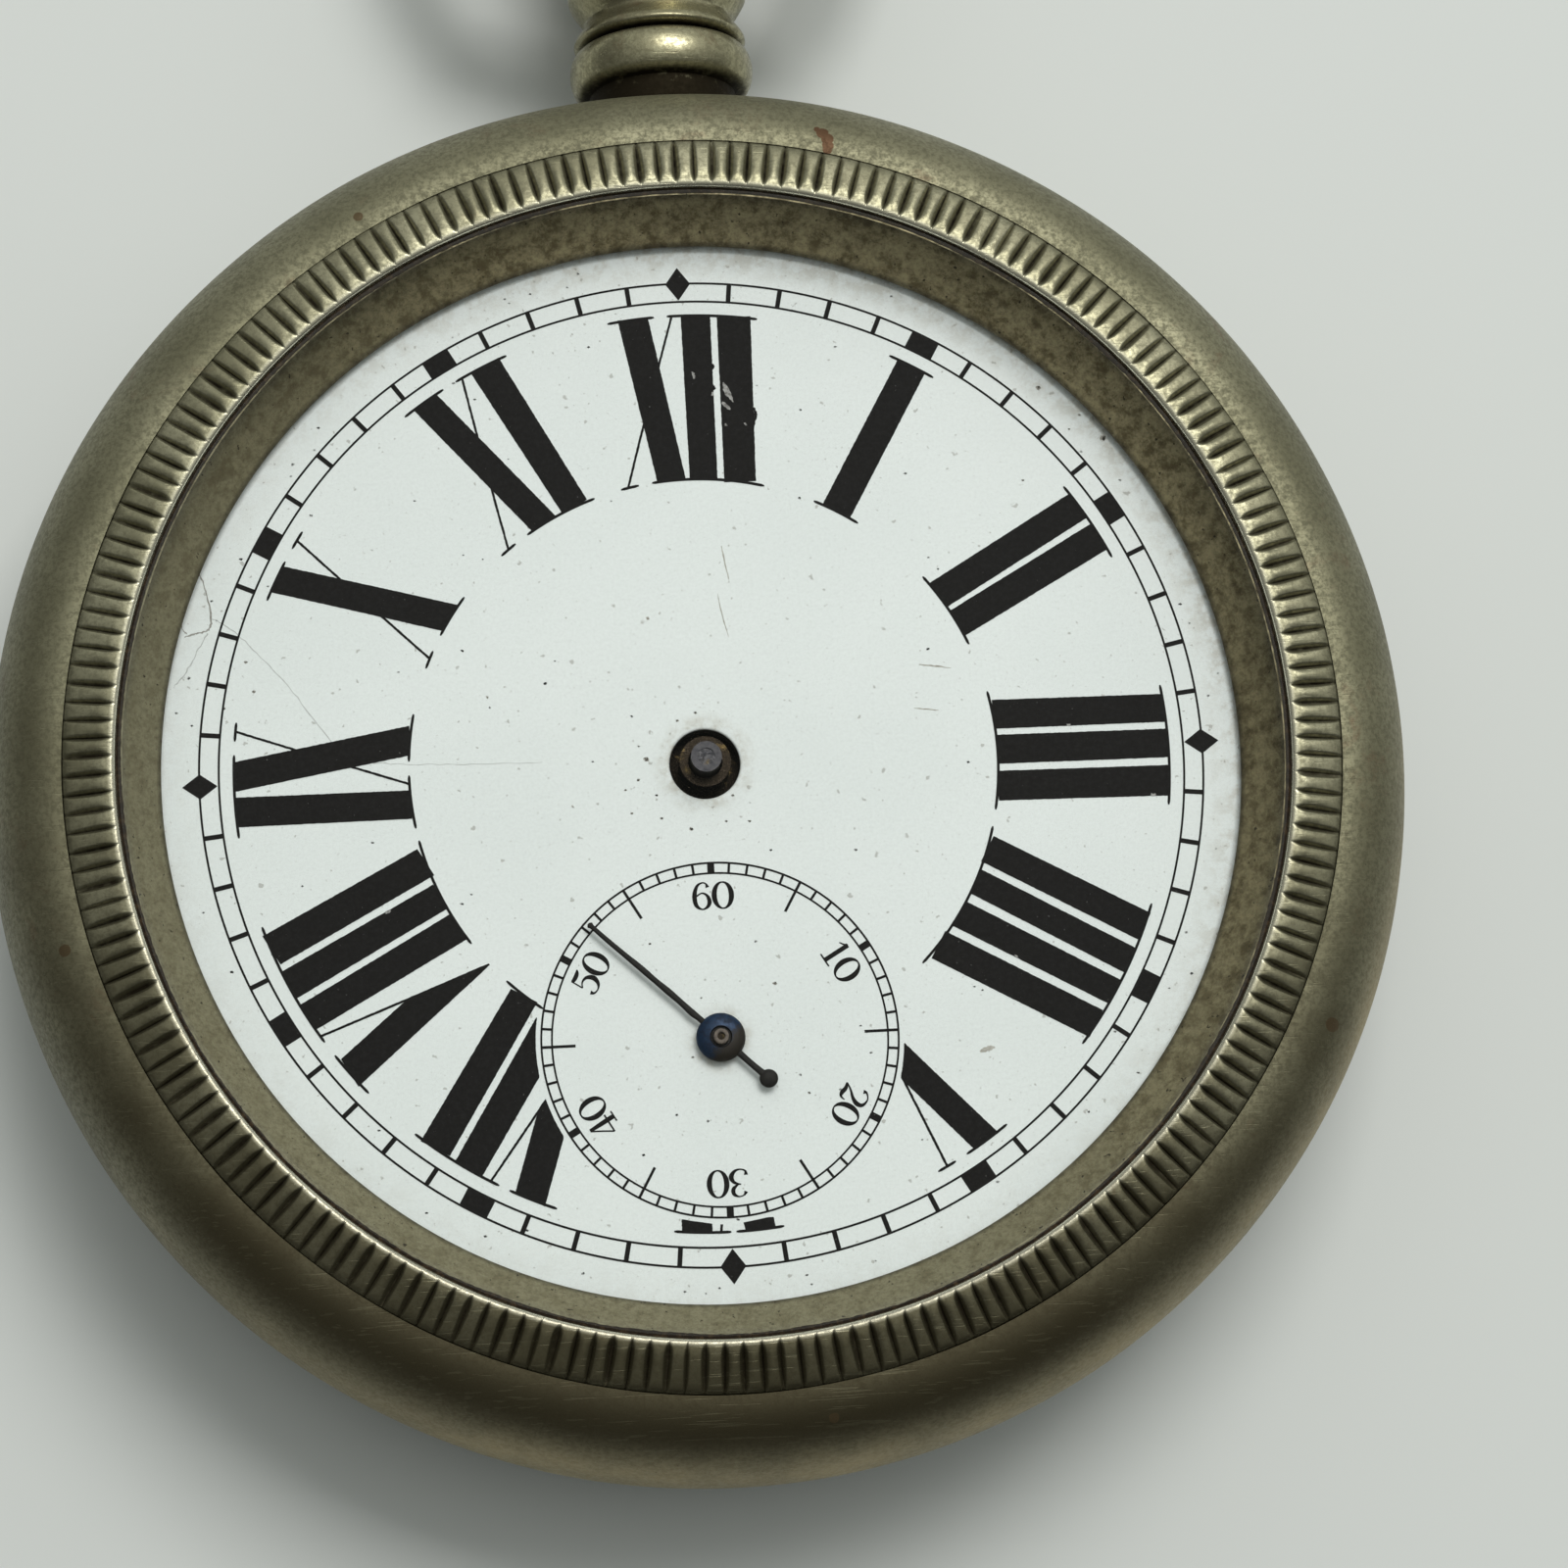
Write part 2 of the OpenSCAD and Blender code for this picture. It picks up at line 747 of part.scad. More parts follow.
module dial_screws()
  color([0.5, 0.5, 0.52])
    for (a = feet)
      rotate([0, 0, a])
        translate([feet_r + feet_pin_r + 0.1, 0, 7.3])
          rotate([0, 90, 0])
            cylinder(h = 1.6, r = 0.4);

// ---------------------------------------------------------------- barrel

drum_r = 8.7;
drum_z0 = 3.9;
drum_z1 = 5.7;

module barrel()
  color([0.8, 0.68, 0.38])
    difference() {
      union() {
        at(barrel_p, drum_z0)
          gear(barrel_n, barrel_m, 0.6, angle_of(-barrel_p));
        rod(barrel_p, drum_z0, drum_z1, drum_r);
      }
      rod(barrel_p, drum_z0 + 0.3, drum_z1 + 1, drum_r - 0.4);
      rod(barrel_p, 0, 10, 1 + run);
    }

module barrel_cover()
  color([0.8, 0.68, 0.38])
    ring(barrel_p, drum_z1 - 0.3, drum_z1, 1 + run, drum_r - 0.4);

// Archimedean spiral strip as an outline: out along one side and back along the other
function spiral(r0, r1, turns, w, n) =
  let (p = function(i, off) spot(r0 + (r1 - r0) * i / n + off, 360 * turns * i / n))
  concat([for (i = [0:n]) p(i, -w / 2)], [for (i = [n:-1:0]) p(i, w / 2)]);

module mainspring()
  color([0.35, 0.38, 0.5])
    at(barrel_p, drum_z0 + 0.35)
      linear_extrude(1)
        polygon(spiral(2, drum_r - 0.6, 11, 0.2, 360));

module barrel_arbor()
  color([0.6, 0.6, 0.62])
    union() {
      rod(barrel_p, bridge_z0, 8.57, 1);
      rod(barrel_p, drum_z0 + 0.35, drum_z1 - 0.35, 1.5);
    }

// ---------------------------------------------------------------- going train

module centre_wheel()
  color([0.82, 0.7, 0.4])
    union() {
      at(centre_p, 5.95)
        wheel(centre_n, centre_m, 0.3, 5, 1.9, 0.9, angle_of(third_p));
      at(centre_p, 3.8)
        leaves(centre_pinion_n, barrel_m, 2.1, angle_of(barrel_p) + 180 / centre_pinion_n);
      rod(centre_p, bridge_z1 + 0.05, 8.04, 0.5);
      rod(centre_p, bridge_z0 + 0.1, 4, 0.3);
      rod(centre_p, 8, 11.45, 0.35);
    }

module third_wheel()
  color([0.82, 0.7, 0.4])
    union() {
      at(third_p, 4.1)
        wheel(third_n, third_m, 0.28, 5, 1.4, 0.8, angle_of(fourth_p - third_p));
      at(third_p, 5.65)
        leaves(third_pinion_n, centre_m, 0.68, angle_of(-third_p) + 180 / third_pinion_n);
      rod(third_p, bridge_z1 + 0.05, plate_z0 - 0.05, 0.35);
      rod(third_p, bridge_z0 + 0.1, plate_z0 + 0.9, pivot_r);
    }

module fourth_wheel()
  color([0.82, 0.7, 0.4])
    union() {
      at(fourth_p, 5.2)
        wheel(fourth_n, fourth_m, 0.28, 5, 1.5, 0.7, angle_of(escape_p - fourth_p));
      at(fourth_p, 3.85)
        leaves(fourth_pinion_n, third_m, 1.2, angle_of(third_p - fourth_p) + 180 / fourth_pinion_n);
      rod(fourth_p, bridge_z1 + 0.05, plate_z0 - 0.05, 0.35);
      rod(fourth_p, bridge_z0 + 0.1, 4, pivot_r);
      rod(fourth_p, plate_z0 - 0.1, 8, 0.3);
      rod(fourth_p, 8, hand_z + 0.2, 0.2);
    }

// Club teeth of the escape wheel, leaning forward
function escape_outline() =
  let (step = 360 / escape_n)
  [for (i = [0:escape_n - 1]) for (p = [
    [2.75, 0], [3.2, 7.5], [escape_r - 0.12, 9.5], [escape_r, 12], [3.35, 10.6], [2.9, 9.4]
  ]) spot(p[0], i * step + p[1])];

module escape_wheel()
  color([0.82, 0.7, 0.4])
    union() {
      at(escape_p, 4.5)
        linear_extrude(0.25)
          difference() {
            polygon(escape_outline());
            difference() {
              circle(2.3);
              circle(0.9);
              for (i = [0:3])
                rotate([0, 0, i * 90])
                  translate([0, -0.2])
                    square([3, 0.4]);
            }
          }
      at(escape_p, 4.95)
        leaves(escape_pinion_n, fourth_m, 0.9,
               angle_of(fourth_p - escape_p) + 180 / escape_pinion_n);
      rod(escape_p, bridge_z1 + 0.05, plate_z0 - 0.05, 0.28);
      rod(escape_p, bridge_z0 + 0.1, plate_z0 + 0.9, pivot_r);
    }

// ---------------------------------------------------------------- escapement and balance

stone_d = 2.05;

module pallet_fork()
  color([0.66, 0.66, 0.68])
    at(pallet_p)
      rotate([0, 0, line_a]) {
        translate([0, 0, 4.47])
          linear_extrude(0.3)
            union() {
              // lever with a forked end
              difference() {
                translate([0, -0.22])
                  square([escape_balance_d - pallet_d - impulse_r - 0.22, 0.44]);
                translate([3.9, -0.14])
                  square([2, 0.28]);
              }
              circle(0.7);
              for (s = [-1, 1])
                rotate([0, 0, s * 93])
                  translate([0, -0.25])
                    square([stone_d + 0.2, 0.5]);
            }
        for (s = [-1, 1])
          rotate([0, 0, s * 93])
            translate([stone_d - 0.2, s > 0 ? 0 : -0.55, 4.42])
              cube([0.42, 0.55, 0.4]);
        translate([0, 0, 4.3])
          cylinder(h = 2.05, r = 0.28);
        translate([0, 0, 3.8])
          cylinder(h = 3.4, r = pivot_r);
      }

arm_z = 3;
rim_z0 = 2.75;
rim_h = 0.8;
rim_screws = 14;

module balance_wheel()
  color([0.78, 0.66, 0.36])
    difference() {
      union() {
        ring(balance_p, rim_z0, rim_z0 + rim_h, balance_r - 0.65, balance_r);
        at(balance_p, arm_z)
          rotate([0, 0, line_a + 35])
            translate([-balance_r + 0.3, -0.45, 0])
              cube([2 * balance_r - 0.6, 0.9, 0.3]);
        rod(balance_p, arm_z, arm_z + 0.3, 1.2);
        for (i = [0:rim_screws - 1])
          at(balance_p, rim_z0 + rim_h / 2)
            rotate([0, 0, line_a + 15 + i * 360 / rim_screws])
              rotate([0, 90, 0])
                translate([0, 0, balance_r - 0.2])
                  cylinder(h = 0.6, r = 0.3);
      }
      rod(balance_p, 2, 5, 0.4);
    }

module balance_staff()
  color([0.6, 0.6, 0.62])
    union() {
      rod(balance_p, 2.25, 4, 0.4);
      rod(balance_p, 4, 6.35, 0.3);
      rod(balance_p, 1.45, 7.2, pivot_r);
      rod(balance_p, 3.95, 4.2, 1.5);
      at(balance_p)
        rotate([0, 0, line_a + 180])
          rod([impulse_r, 0], 4.2, 4.85, 0.13);
    }

module hairspring()
  color([0.25, 0.3, 0.5])
    at(balance_p, 2.35)
      rotate([0, 0, 190])
        linear_extrude(0.22)
          polygon(spiral(0.75, 3.1, 9, 0.06, 270));

module regulator()
  color([0.6, 0.6, 0.62])
    difference() {
      union() {
        rod(balance_p, 1.25, 1.45, 1.9);
        bar(balance_p, balance_p + spot(4.6, 60), 1.25, 1.45, 0.5);
      }
      rod(balance_p, 0, 3, 1.15 + run);
    }

case_body();
bezel();
crystal();
case_back();
pendant();
pendant_sleeve();
crown();
stem();
bow();
bow_screws();
dial();
seconds_hand();
main_plate();
pillars();
barrel_bridge();
train_bridge();
balance_cock();
pallet_cock();
jewels();
plate_screws();
case_screws();
dial_screws();
barrel();
barrel_cover();
mainspring();
barrel_arbor();
ratchet_wheel();
ratchet_screw();
click();
click_spring();
crown_wheel();
crown_wheel_screw();
winding_pinion();
clutch();
setting_lever();
yoke();
setting_wheel();
centre_wheel();
cannon_pinion();
minute_wheel();
hour_wheel();
third_wheel();
fourth_wheel();
escape_wheel();
pallet_fork();
balance_wheel();
balance_staff();
hairspring();
regulator();
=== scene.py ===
import functools
import json
import random
from math import cos, degrees, hypot, pi, radians, sin, sqrt

import bpy
from mathutils import Matrix, Vector


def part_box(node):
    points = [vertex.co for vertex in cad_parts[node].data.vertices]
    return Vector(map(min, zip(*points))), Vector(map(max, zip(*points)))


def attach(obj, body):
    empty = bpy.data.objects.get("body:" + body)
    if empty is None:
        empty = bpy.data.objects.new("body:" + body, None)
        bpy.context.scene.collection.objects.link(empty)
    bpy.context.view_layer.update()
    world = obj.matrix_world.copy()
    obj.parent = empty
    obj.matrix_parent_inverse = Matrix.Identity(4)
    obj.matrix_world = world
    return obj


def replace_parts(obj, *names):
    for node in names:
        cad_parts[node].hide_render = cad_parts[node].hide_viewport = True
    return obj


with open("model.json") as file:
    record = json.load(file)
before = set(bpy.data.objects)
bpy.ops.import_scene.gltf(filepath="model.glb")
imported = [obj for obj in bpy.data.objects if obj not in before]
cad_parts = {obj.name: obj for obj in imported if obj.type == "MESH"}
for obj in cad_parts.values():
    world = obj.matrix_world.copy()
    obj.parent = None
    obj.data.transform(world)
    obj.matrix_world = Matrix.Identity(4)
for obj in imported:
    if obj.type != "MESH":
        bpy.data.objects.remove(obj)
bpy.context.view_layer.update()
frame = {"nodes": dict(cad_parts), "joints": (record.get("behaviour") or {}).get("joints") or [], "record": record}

# Lengths in this script are millimetres unless a name says otherwise; MM turns them into metres.
MM = 0.001
TAU = 2 * pi


def low(node):
    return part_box(node)[0] / MM


def high(node):
    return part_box(node)[1] / MM


def joint_place(name):
    """Where a hinge stands, in millimetres."""
    return Vector(next(j["pos_m"] for j in frame["joints"] if j["name"] == name)) / MM


# Driving dimensions, from the frame
DIAL_R, _, DIAL_Z = high("dial")
BEZEL_R, _, BEZEL_TOP = high("bezel")
BEZEL_FOOT = low("bezel").z
CASE_R = high("case_body").x
BACK_R, _, BACK_TOP = high("case_back")
SECONDS = joint_place("seconds_turn").xy
STEM_Z = joint_place("bow_swing").z
CROWN_Y0 = low("crown").y
CROWN_R, CROWN_Y1, _ = high("crown")

# ---- mesh helpers


def link(name, data):
    obj = bpy.data.objects.new(name, data)
    bpy.context.scene.collection.objects.link(obj)
    return obj


def shown(name, verts, faces):
    """A plain mesh object from millimetres."""
    mesh = bpy.data.meshes.new(name)
    mesh.from_pydata([(x * MM, y * MM, z * MM) for x, y, z in verts], [], faces)
    return link(name, mesh)


def piece(name, verts, faces, body, slot, materials, smooth=True, crease=40, dirt=None):
    """A mesh in millimetres becomes an object that rides on a body. faces may be (corners, material index).
    dirt is a value for each corner that the materials read."""
    tagged = [f if isinstance(f[0], tuple) else (f, 0) for f in faces]
    obj = shown(name, verts, [f[0] for f in tagged])
    mesh = obj.data
    for polygon, (_, index) in zip(mesh.polygons, tagged):
        polygon.material_index = index
        polygon.use_smooth = smooth
    for material in materials:
        mesh.materials.append(material)
    if smooth:
        mesh.set_sharp_from_angle(angle=radians(crease))
    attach(obj, body)
    if dirt:
        mesh.attributes.new("dirt", "FLOAT", "POINT").data.foreach_set("value", dirt)
    return obj


def dial_axis(r, a, h):
    return (r * cos(a), r * sin(a), h)


def stem_axis(r, a, h):
    return (r * cos(a), h, STEM_Z - r * sin(a))


def turned(profile, steps, place=dial_axis, closed=True, shape=None):
    """Revolves [(radius, height), ...]. shape(i, j, r, h, a) may move a point. A radius of 0 becomes a pole."""
    verts, rings = [], []
    for i, (r, h) in enumerate(profile):
        if r < 1e-6:
            rings.append([len(verts)] * steps)
            verts.append(place(0, 0, h))
            continue
        rings.append(range(len(verts), len(verts) + steps))
        for j in range(steps):
            a = TAU * j / steps
            rr, hh = shape(i, j, r, h, a) if shape else (r, h)
            verts.append(place(rr, a, hh))
    faces = []
    count = len(rings)
    for i in range(count if closed else count - 1):
        a, b = rings[i], rings[(i + 1) % count]
        for j in range(steps):
            k = (j + 1) % steps
            corners = [a[j], a[k], b[k], b[j]]
            corners = [c for n, c in enumerate(corners) if c != corners[n - 1]]
            if len(corners) >= 3:
                faces.append(tuple(corners))
    return verts, faces


def slab(r0, r1, z0, z1):
    """Outline of a flat ring."""
    return [(r0, z0), (r1, z0), (r1, z1), (r0, z1)]


def shifted(mesh, dx=0, dy=0, dz=0):
    verts, faces = mesh
    return [(x + dx, y + dy, z + dz) for x, y, z in verts], faces


def joined(*meshes):
    verts, faces = [], []
    for v, f in meshes:
        base = len(verts)
        verts += v
        faces += [tuple(c + base for c in face) for face in f]
    return verts, faces


def rounded(points, radius, steps=4):
    """Replaces the corners of a closed outline with short curves."""
    out = []
    for i, p in enumerate(points):
        p = Vector(p)
        before, after = Vector(points[i - 1]), Vector(points[(i + 1) % len(points)])
        cut = min(radius, (before - p).length * 0.45, (after - p).length * 0.45)
        a = p + (before - p).normalized() * cut
        b = p + (after - p).normalized() * cut
        for k in range(steps + 1):
            t = k / steps
            out.append(tuple((1 - t) ** 2 * a + 2 * t * (1 - t) * p + t * t * b))
    return out


def tube_faces(levels, sides):
    """Sides and two ends of a closed tube."""
    faces = []
    for i in range(levels - 1):
        a, b = i * sides, (i + 1) * sides
        faces += [(a + k, a + (k + 1) % sides, b + (k + 1) % sides, b + k) for k in range(sides)]
    last = (levels - 1) * sides
    return faces + [tuple(reversed(range(sides))), tuple(range(last, last + sides))]


def strip(levels, z0, z1):
    """Closed thin solid between two edges, given as [(left, right), ...] of XY points."""
    verts = []
    for left, right in levels:
        verts += [(*left, z1), (*right, z1), (*right, z0), (*left, z0)]
    return verts, tube_faces(len(levels), 4)


def sideways(points, i):
    """Unit vector to the left of a line at one of its points."""
    x0, y0 = points[max(i - 1, 0)][:2]
    x1, y1 = points[min(i + 1, len(points) - 1)][:2]
    d = hypot(x1 - x0, y1 - y0) or 1
    return -(y1 - y0) / d, (x1 - x0) / d


def stroke(points, z0, z1):
    """Line of varying width: points are (x, y, width)."""
    levels = []
    for i, (x, y, w) in enumerate(points):
        nx, ny = (n * w / 2 for n in sideways(points, i))
        levels.append(((x + nx, y + ny), (x - nx, y - ny)))
    return strip(levels, z0, z1)


def smooth_path(points, steps=8):
    """Catmull-Rom curve through tuples of any length."""
    out = []
    for i in range(len(points) - 1):
        p0, p1, p2 = points[max(i - 1, 0)], points[i], points[i + 1]
        p3 = points[min(i + 2, len(points) - 1)]
        for k in range(steps):
            t = k / steps
            out.append(tuple(
                0.5 * (2 * b + (c - a) * t + (2 * a - 5 * b + 4 * c - d) * t * t + (3 * b - a - 3 * c + d) * t ** 3)
                for a, b, c, d in zip(p0, p1, p2, p3)))
    return out + [points[-1]]


SWEEP_SIDES = 10


def sweep(points):
    """Tube along points (x, y, z, half width, half height) that stays level: its width lies in the XY plane."""
    verts = []
    for i, (x, y, z, w, h) in enumerate(points):
        nx, ny = sideways(points, i)
        for k in range(SWEEP_SIDES):
            a = TAU * (k + 0.5) / SWEEP_SIDES
            verts.append((x + nx * w * cos(a), y + ny * w * cos(a), z + h * sin(a)))
    return verts, tube_faces(len(points), SWEEP_SIDES)


# ---- material helpers


class Wire:
    """A node's output, which can be added, subtracted, multiplied and divided."""

    def __init__(self, graph, socket):
        self.graph, self.socket = graph, socket


for sign, kind in (("add", "ADD"), ("sub", "SUBTRACT"), ("mul", "MULTIPLY"), ("truediv", "DIVIDE")):
    setattr(Wire, f"__{sign}__", lambda self, other, kind=kind: self.graph.math(kind, self, other))


class Graph:
    """Short names for the nodes of a material or a world."""

    def __init__(self, owner):
        owner.use_nodes = True
        self.nodes, self.links = owner.node_tree.nodes, owner.node_tree.links

    def feed(self, value, socket):
        """Gives an input a number, a colour, a vector or another node's output."""
        if isinstance(value, Wire):
            self.links.new(value.socket, socket)
        elif isinstance(value, tuple) and len(socket.default_value) == 4:
            socket.default_value = (*value, 1)
        else:
            socket.default_value = value

    def node(self, kind, output, inputs, **settings):
        node = self.nodes.new("ShaderNode" + kind)
        for key, value in settings.items():
            setattr(node, key, value)
        for key, value in inputs.items():
            self.feed(value, node.inputs[key])
        return Wire(self, node.outputs[output])

    def math(self, kind, a, b=0.0, clamp=False):
        return self.node("Math", 0, {0: a, 1: b}, operation=kind, use_clamp=clamp)

    def between(self, value, start, end, low_out=0.0, high_out=1.0):
        """Maps start..end to low_out..high_out, clamped and eased."""
        return self.node("MapRange", "Result", {"Value": value, "From Min": start, "From Max": end,
                                                "To Min": low_out, "To Max": high_out},
                         interpolation_type="SMOOTHSTEP")


class Paint(Graph):
    """A Principled material that is built up from one colour, coat by coat."""

    def __init__(self, name, colour, metallic=0.0, roughness=0.5, specular=0.5, ior=1.5):
        self.material = bpy.data.materials.new(name)
        super().__init__(self.material)
        self.shader = self.nodes["Principled BSDF"].inputs
        for key, value in (("Metallic", metallic), ("Roughness", roughness), ("Specular IOR Level", specular),
                           ("IOR", ior)):
            self.shader[key].default_value = value
        self.coords = self.mm()
        self.x, self.y, self.z = (self.node("SeparateXYZ", i, {0: self.coords}) for i in range(3))
        self.film = colour

    def mm(self, scale=(1, 1, 1), turn=0.0):
        """Object coordinates in millimetres, stretched and turned about Z."""
        where = self.node("TexCoord", "Object", {})
        return self.node("Mapping", "Vector", {"Vector": where, "Scale": tuple(s / MM for s in scale),
                                               "Rotation": (0, 0, turn)})

    def noise(self, scale, detail=4, rough=0.6, coords=None, distortion=0.0):
        return self.node("TexNoise", "Fac", {"Vector": coords or self.coords, "Scale": scale, "Detail": detail,
                                             "Roughness": rough, "Distortion": distortion})

    def mix(self, amount, a, b):
        return self.node("Mix", 2, {0: amount, 6: a, 7: b}, data_type="RGBA")

    def stored(self, name):
        return self.node("Attribute", "Fac", {}, attribute_name=name)

    def distance(self, x, y):
        """Distance in the dial's plane from a point."""
        dx, dy = self.x - x, self.y - y
        return self.math("SQRT", dx * dx + dy * dy)

    def coat(self, colour, value, *limits):
        """Lays a colour over the film as far as value says. Limits, as for between, are applied to it first."""
        self.film = self.mix(self.between(value, *limits) if limits else value, self.film, colour)

    def rough(self, value):
        self.feed(value, self.shader["Roughness"])

    def bump(self, height, strength, distance=0.02):
        """distance is in millimetres"""
        normal = self.shader["Normal"]
        inputs = {"Strength": strength, "Distance": distance * MM, "Height": height}
        if normal.is_linked:
            inputs["Normal"] = Wire(self, normal.links[0].from_socket)
        self.feed(self.node("Bump", "Normal", inputs), normal)

    def done(self):
        self.feed(self.film, self.shader["Base Color"])
        return self.material


def scratches(paint):
    """Long thin marks in three directions."""
    lines = [paint.between(paint.noise(scale, 2, 0.5, paint.mm((0.03, 1, 0.5), turn)), 0.66, 0.7)
             for turn, scale in ((0.4, 9), (-0.9, 7), (1.9, 8))]
    return functools.reduce(lambda a, b: paint.math("MAXIMUM", a, b), lines)


def packed_dirt(paint, dirt):
    """Dirt in the grooves, uneven along them."""
    return dirt * paint.between(paint.noise(3, 4, 0.6), 0.2, 0.6, 0.55, 1.0)


def worn_metal(name, bright, dull, stain, roughness=0.5, stain_from=0.58, metallic=0.65, grooves=False, lower_shade_and_patina=0.0):
    """Old nickel silver: a dull film in clouds, brown stains, fine pitting, scratches, and dirt in grooves.
    The last argument is how far the side at 6 o'clock, where a hand holds it, is darkened to brown: partly brown
    patina, partly painted shade. When set, it also brings a painted warm reflection low on the outer side towards 5
    o'clock."""
    paint = Paint(name, bright, metallic, roughness, specular=0.3)
    clouds = paint.noise(0.22, 6, 0.62)
    paint.coat(dull, clouds, 0.34, 0.66)
    grain = paint.noise(4.6, 4, 0.78)
    paint.coat(tuple(0.62 * c for c in dull), grain, 0.4, 0.64, 0, 0.7)
    paint.coat(stain, paint.noise(0.33, 7, 0.7, distortion=0.6), stain_from, stain_from + 0.16, 0, 0.7)
    if lower_shade_and_patina:
        # painted shade with brown patina: the side towards 6 o'clock goes dark brown, less so low on the outer band
        lower = paint.x * -0.12 + paint.y * -0.99 + (clouds - 0.5) * 20
        paint.coat((0.046, 0.036, 0.017),
                   paint.between(lower, -6, 24) * paint.between(paint.z, 10.0, 12.6, 0.2 * lower_shade_and_patina, lower_shade_and_patina))
        # painted warm reflected light on the outer side towards 5 o'clock, strongest low on the band
        right = paint.x * 0.35 + paint.y * -0.94
        warm_reflection = paint.between(right, 2, 24) * paint.between(paint.z, 9.6, 12.4, 0.85, 0)
        paint.coat((0.38, 0.305, 0.165), warm_reflection * paint.between(clouds, 0.36, 0.6, 1, 0.6))
    pits = paint.node("TexVoronoi", "Distance", {"Vector": paint.coords, "Scale": 1.6})
    paint.coat((0.05, 0.04, 0.025), pits, 0.0, 0.09, 0.6, 0)
    marks = scratches(paint)
    paint.coat(bright, marks * 0.14)
    if grooves:
        dirt = paint.stored("dirt")
        paint.coat((0.022, 0.017, 0.009), packed_dirt(paint, dirt))
        # dirt below 0 is metal rubbed bright
        paint.coat((0.82, 0.79, 0.64), paint.math("MULTIPLY", dirt, -1, clamp=True))
        paint.rough(paint.between(grain, 0.3, 0.7, roughness - 0.08, roughness + 0.1) + dirt * 0.3)
    else:
        paint.rough(paint.between(grain, 0.3, 0.7, roughness - 0.08, roughness + 0.12))
    for colour, spots in RUST.get(name, ()):
        reach = [paint.distance(x, y) / size for x, y, size in spots]
        nearest = functools.reduce(lambda a, b: paint.math("MINIMUM", a, b), reach)
        paint.coat(colour, nearest + paint.noise(3, 3, 0.6) * 0.5, 1.15, 1.3, 0.95, 0)
    paint.bump(grain * 0.6 - marks * 0.4, 0.5, 0.02)
    paint.bump(clouds, 0.15, 0.08)
    return paint.done()


# Rust and stain spots by material: a colour and overlapping rounds as (x, y, radius)
RUST = {"case_metal_worn_painted_shade": (
    ((0.082, 0.04, 0.018), ((5.9, 25.66, 0.13), (6.12, 25.46, 0.26), (6.3, 25.2, 0.28), (6.3, 24.9, 0.24),
                            (6.26, 24.7, 0.2))),
    ((0.085, 0.06, 0.03), ((24.06, -12.16, 0.3), (-12.9, 22.6, 0.2), (-25.4, -6.8, 0.24), (3.4, -26.4, 0.2)))),
}

# the case and the bezel carry painted shade with patina towards 6 o'clock
CASE_METAL = worn_metal("case_metal_worn_painted_shade", (0.215, 0.205, 0.13), (0.165, 0.157, 0.096), (0.15, 0.105, 0.062), 0.5,
                        lower_shade_and_patina=0.88)
BEZEL_METAL = worn_metal("bezel_metal_worn_painted_shade", (0.29, 0.277, 0.185), (0.205, 0.194, 0.122), (0.15, 0.11, 0.06), 0.36,
                         stain_from=0.62, metallic=0.8, grooves=True, lower_shade_and_patina=0.72)
BACK_METAL = worn_metal("back_metal_worn", (0.3, 0.285, 0.185), (0.21, 0.2, 0.125), (0.18, 0.12, 0.065), 0.4,
                        metallic=0.8, grooves=True)
CROWN_METAL = worn_metal("crown_metal_worn", (0.36, 0.32, 0.19), (0.24, 0.21, 0.12), (0.2, 0.125, 0.06), 0.36,
                         metallic=0.8, grooves=True)
PENDANT_METAL = worn_metal("pendant_metal_rubbed", (0.4, 0.375, 0.24), (0.25, 0.23, 0.14), (0.17, 0.105, 0.055),
                           0.3, stain_from=0.54, metallic=0.85, grooves=True)


def rehaut_material():
    """The bezel's inner slope, stained brown in patches. Its tone by side is painted light and shade: lighter towards
    the upper right and much lighter at the top, with the patches darker towards the upper right as painted shade.
    """
    paint = Paint("rehaut_stains_painted_light", (0.235, 0.22, 0.135), 0.3, 0.6, specular=0.25)
    lean = paint.x * 0.66 + paint.y * 0.75 + paint.noise(0.16, 3, 0.5) * 12
    top = paint.between(paint.x * 0.35 + paint.y * 0.94, 10, 20)
    # painted light: a lighter tone towards the upper right and a much lighter one at the top
    paint.coat((0.275, 0.238, 0.128), lean, -8, 22)
    paint.coat((0.45, 0.385, 0.215), top)
    patches = paint.noise(1.45, 7, 0.72, distortion=0.15)
    # brown patches, stronger towards the upper right as painted shade and less dark at the top
    paint.coat(paint.mix(top, (0.072, 0.056, 0.023), (0.125, 0.096, 0.04)),
               paint.between(patches, 0.4, 0.66) * paint.between(lean, -10, 20, 0.3, 0.9))
    grain = paint.noise(5.5, 4, 0.75)
    paint.coat((0.075, 0.062, 0.034), grain, 0.4, 0.7, 0, 0.5)
    paint.coat((0.02, 0.015, 0.008), paint.noise(4.5, 2, 0.5), 0.69, 0.73, 0, 0.9)
    paint.coat((0.014, 0.01, 0.006), packed_dirt(paint, paint.stored("dirt")))
    paint.rough(paint.between(patches, 0.4, 0.65, 0.5, 0.8))
    paint.bump(patches, 0.6, 0.05)
    paint.bump(grain, 0.4, 0.02)
    return paint.done()


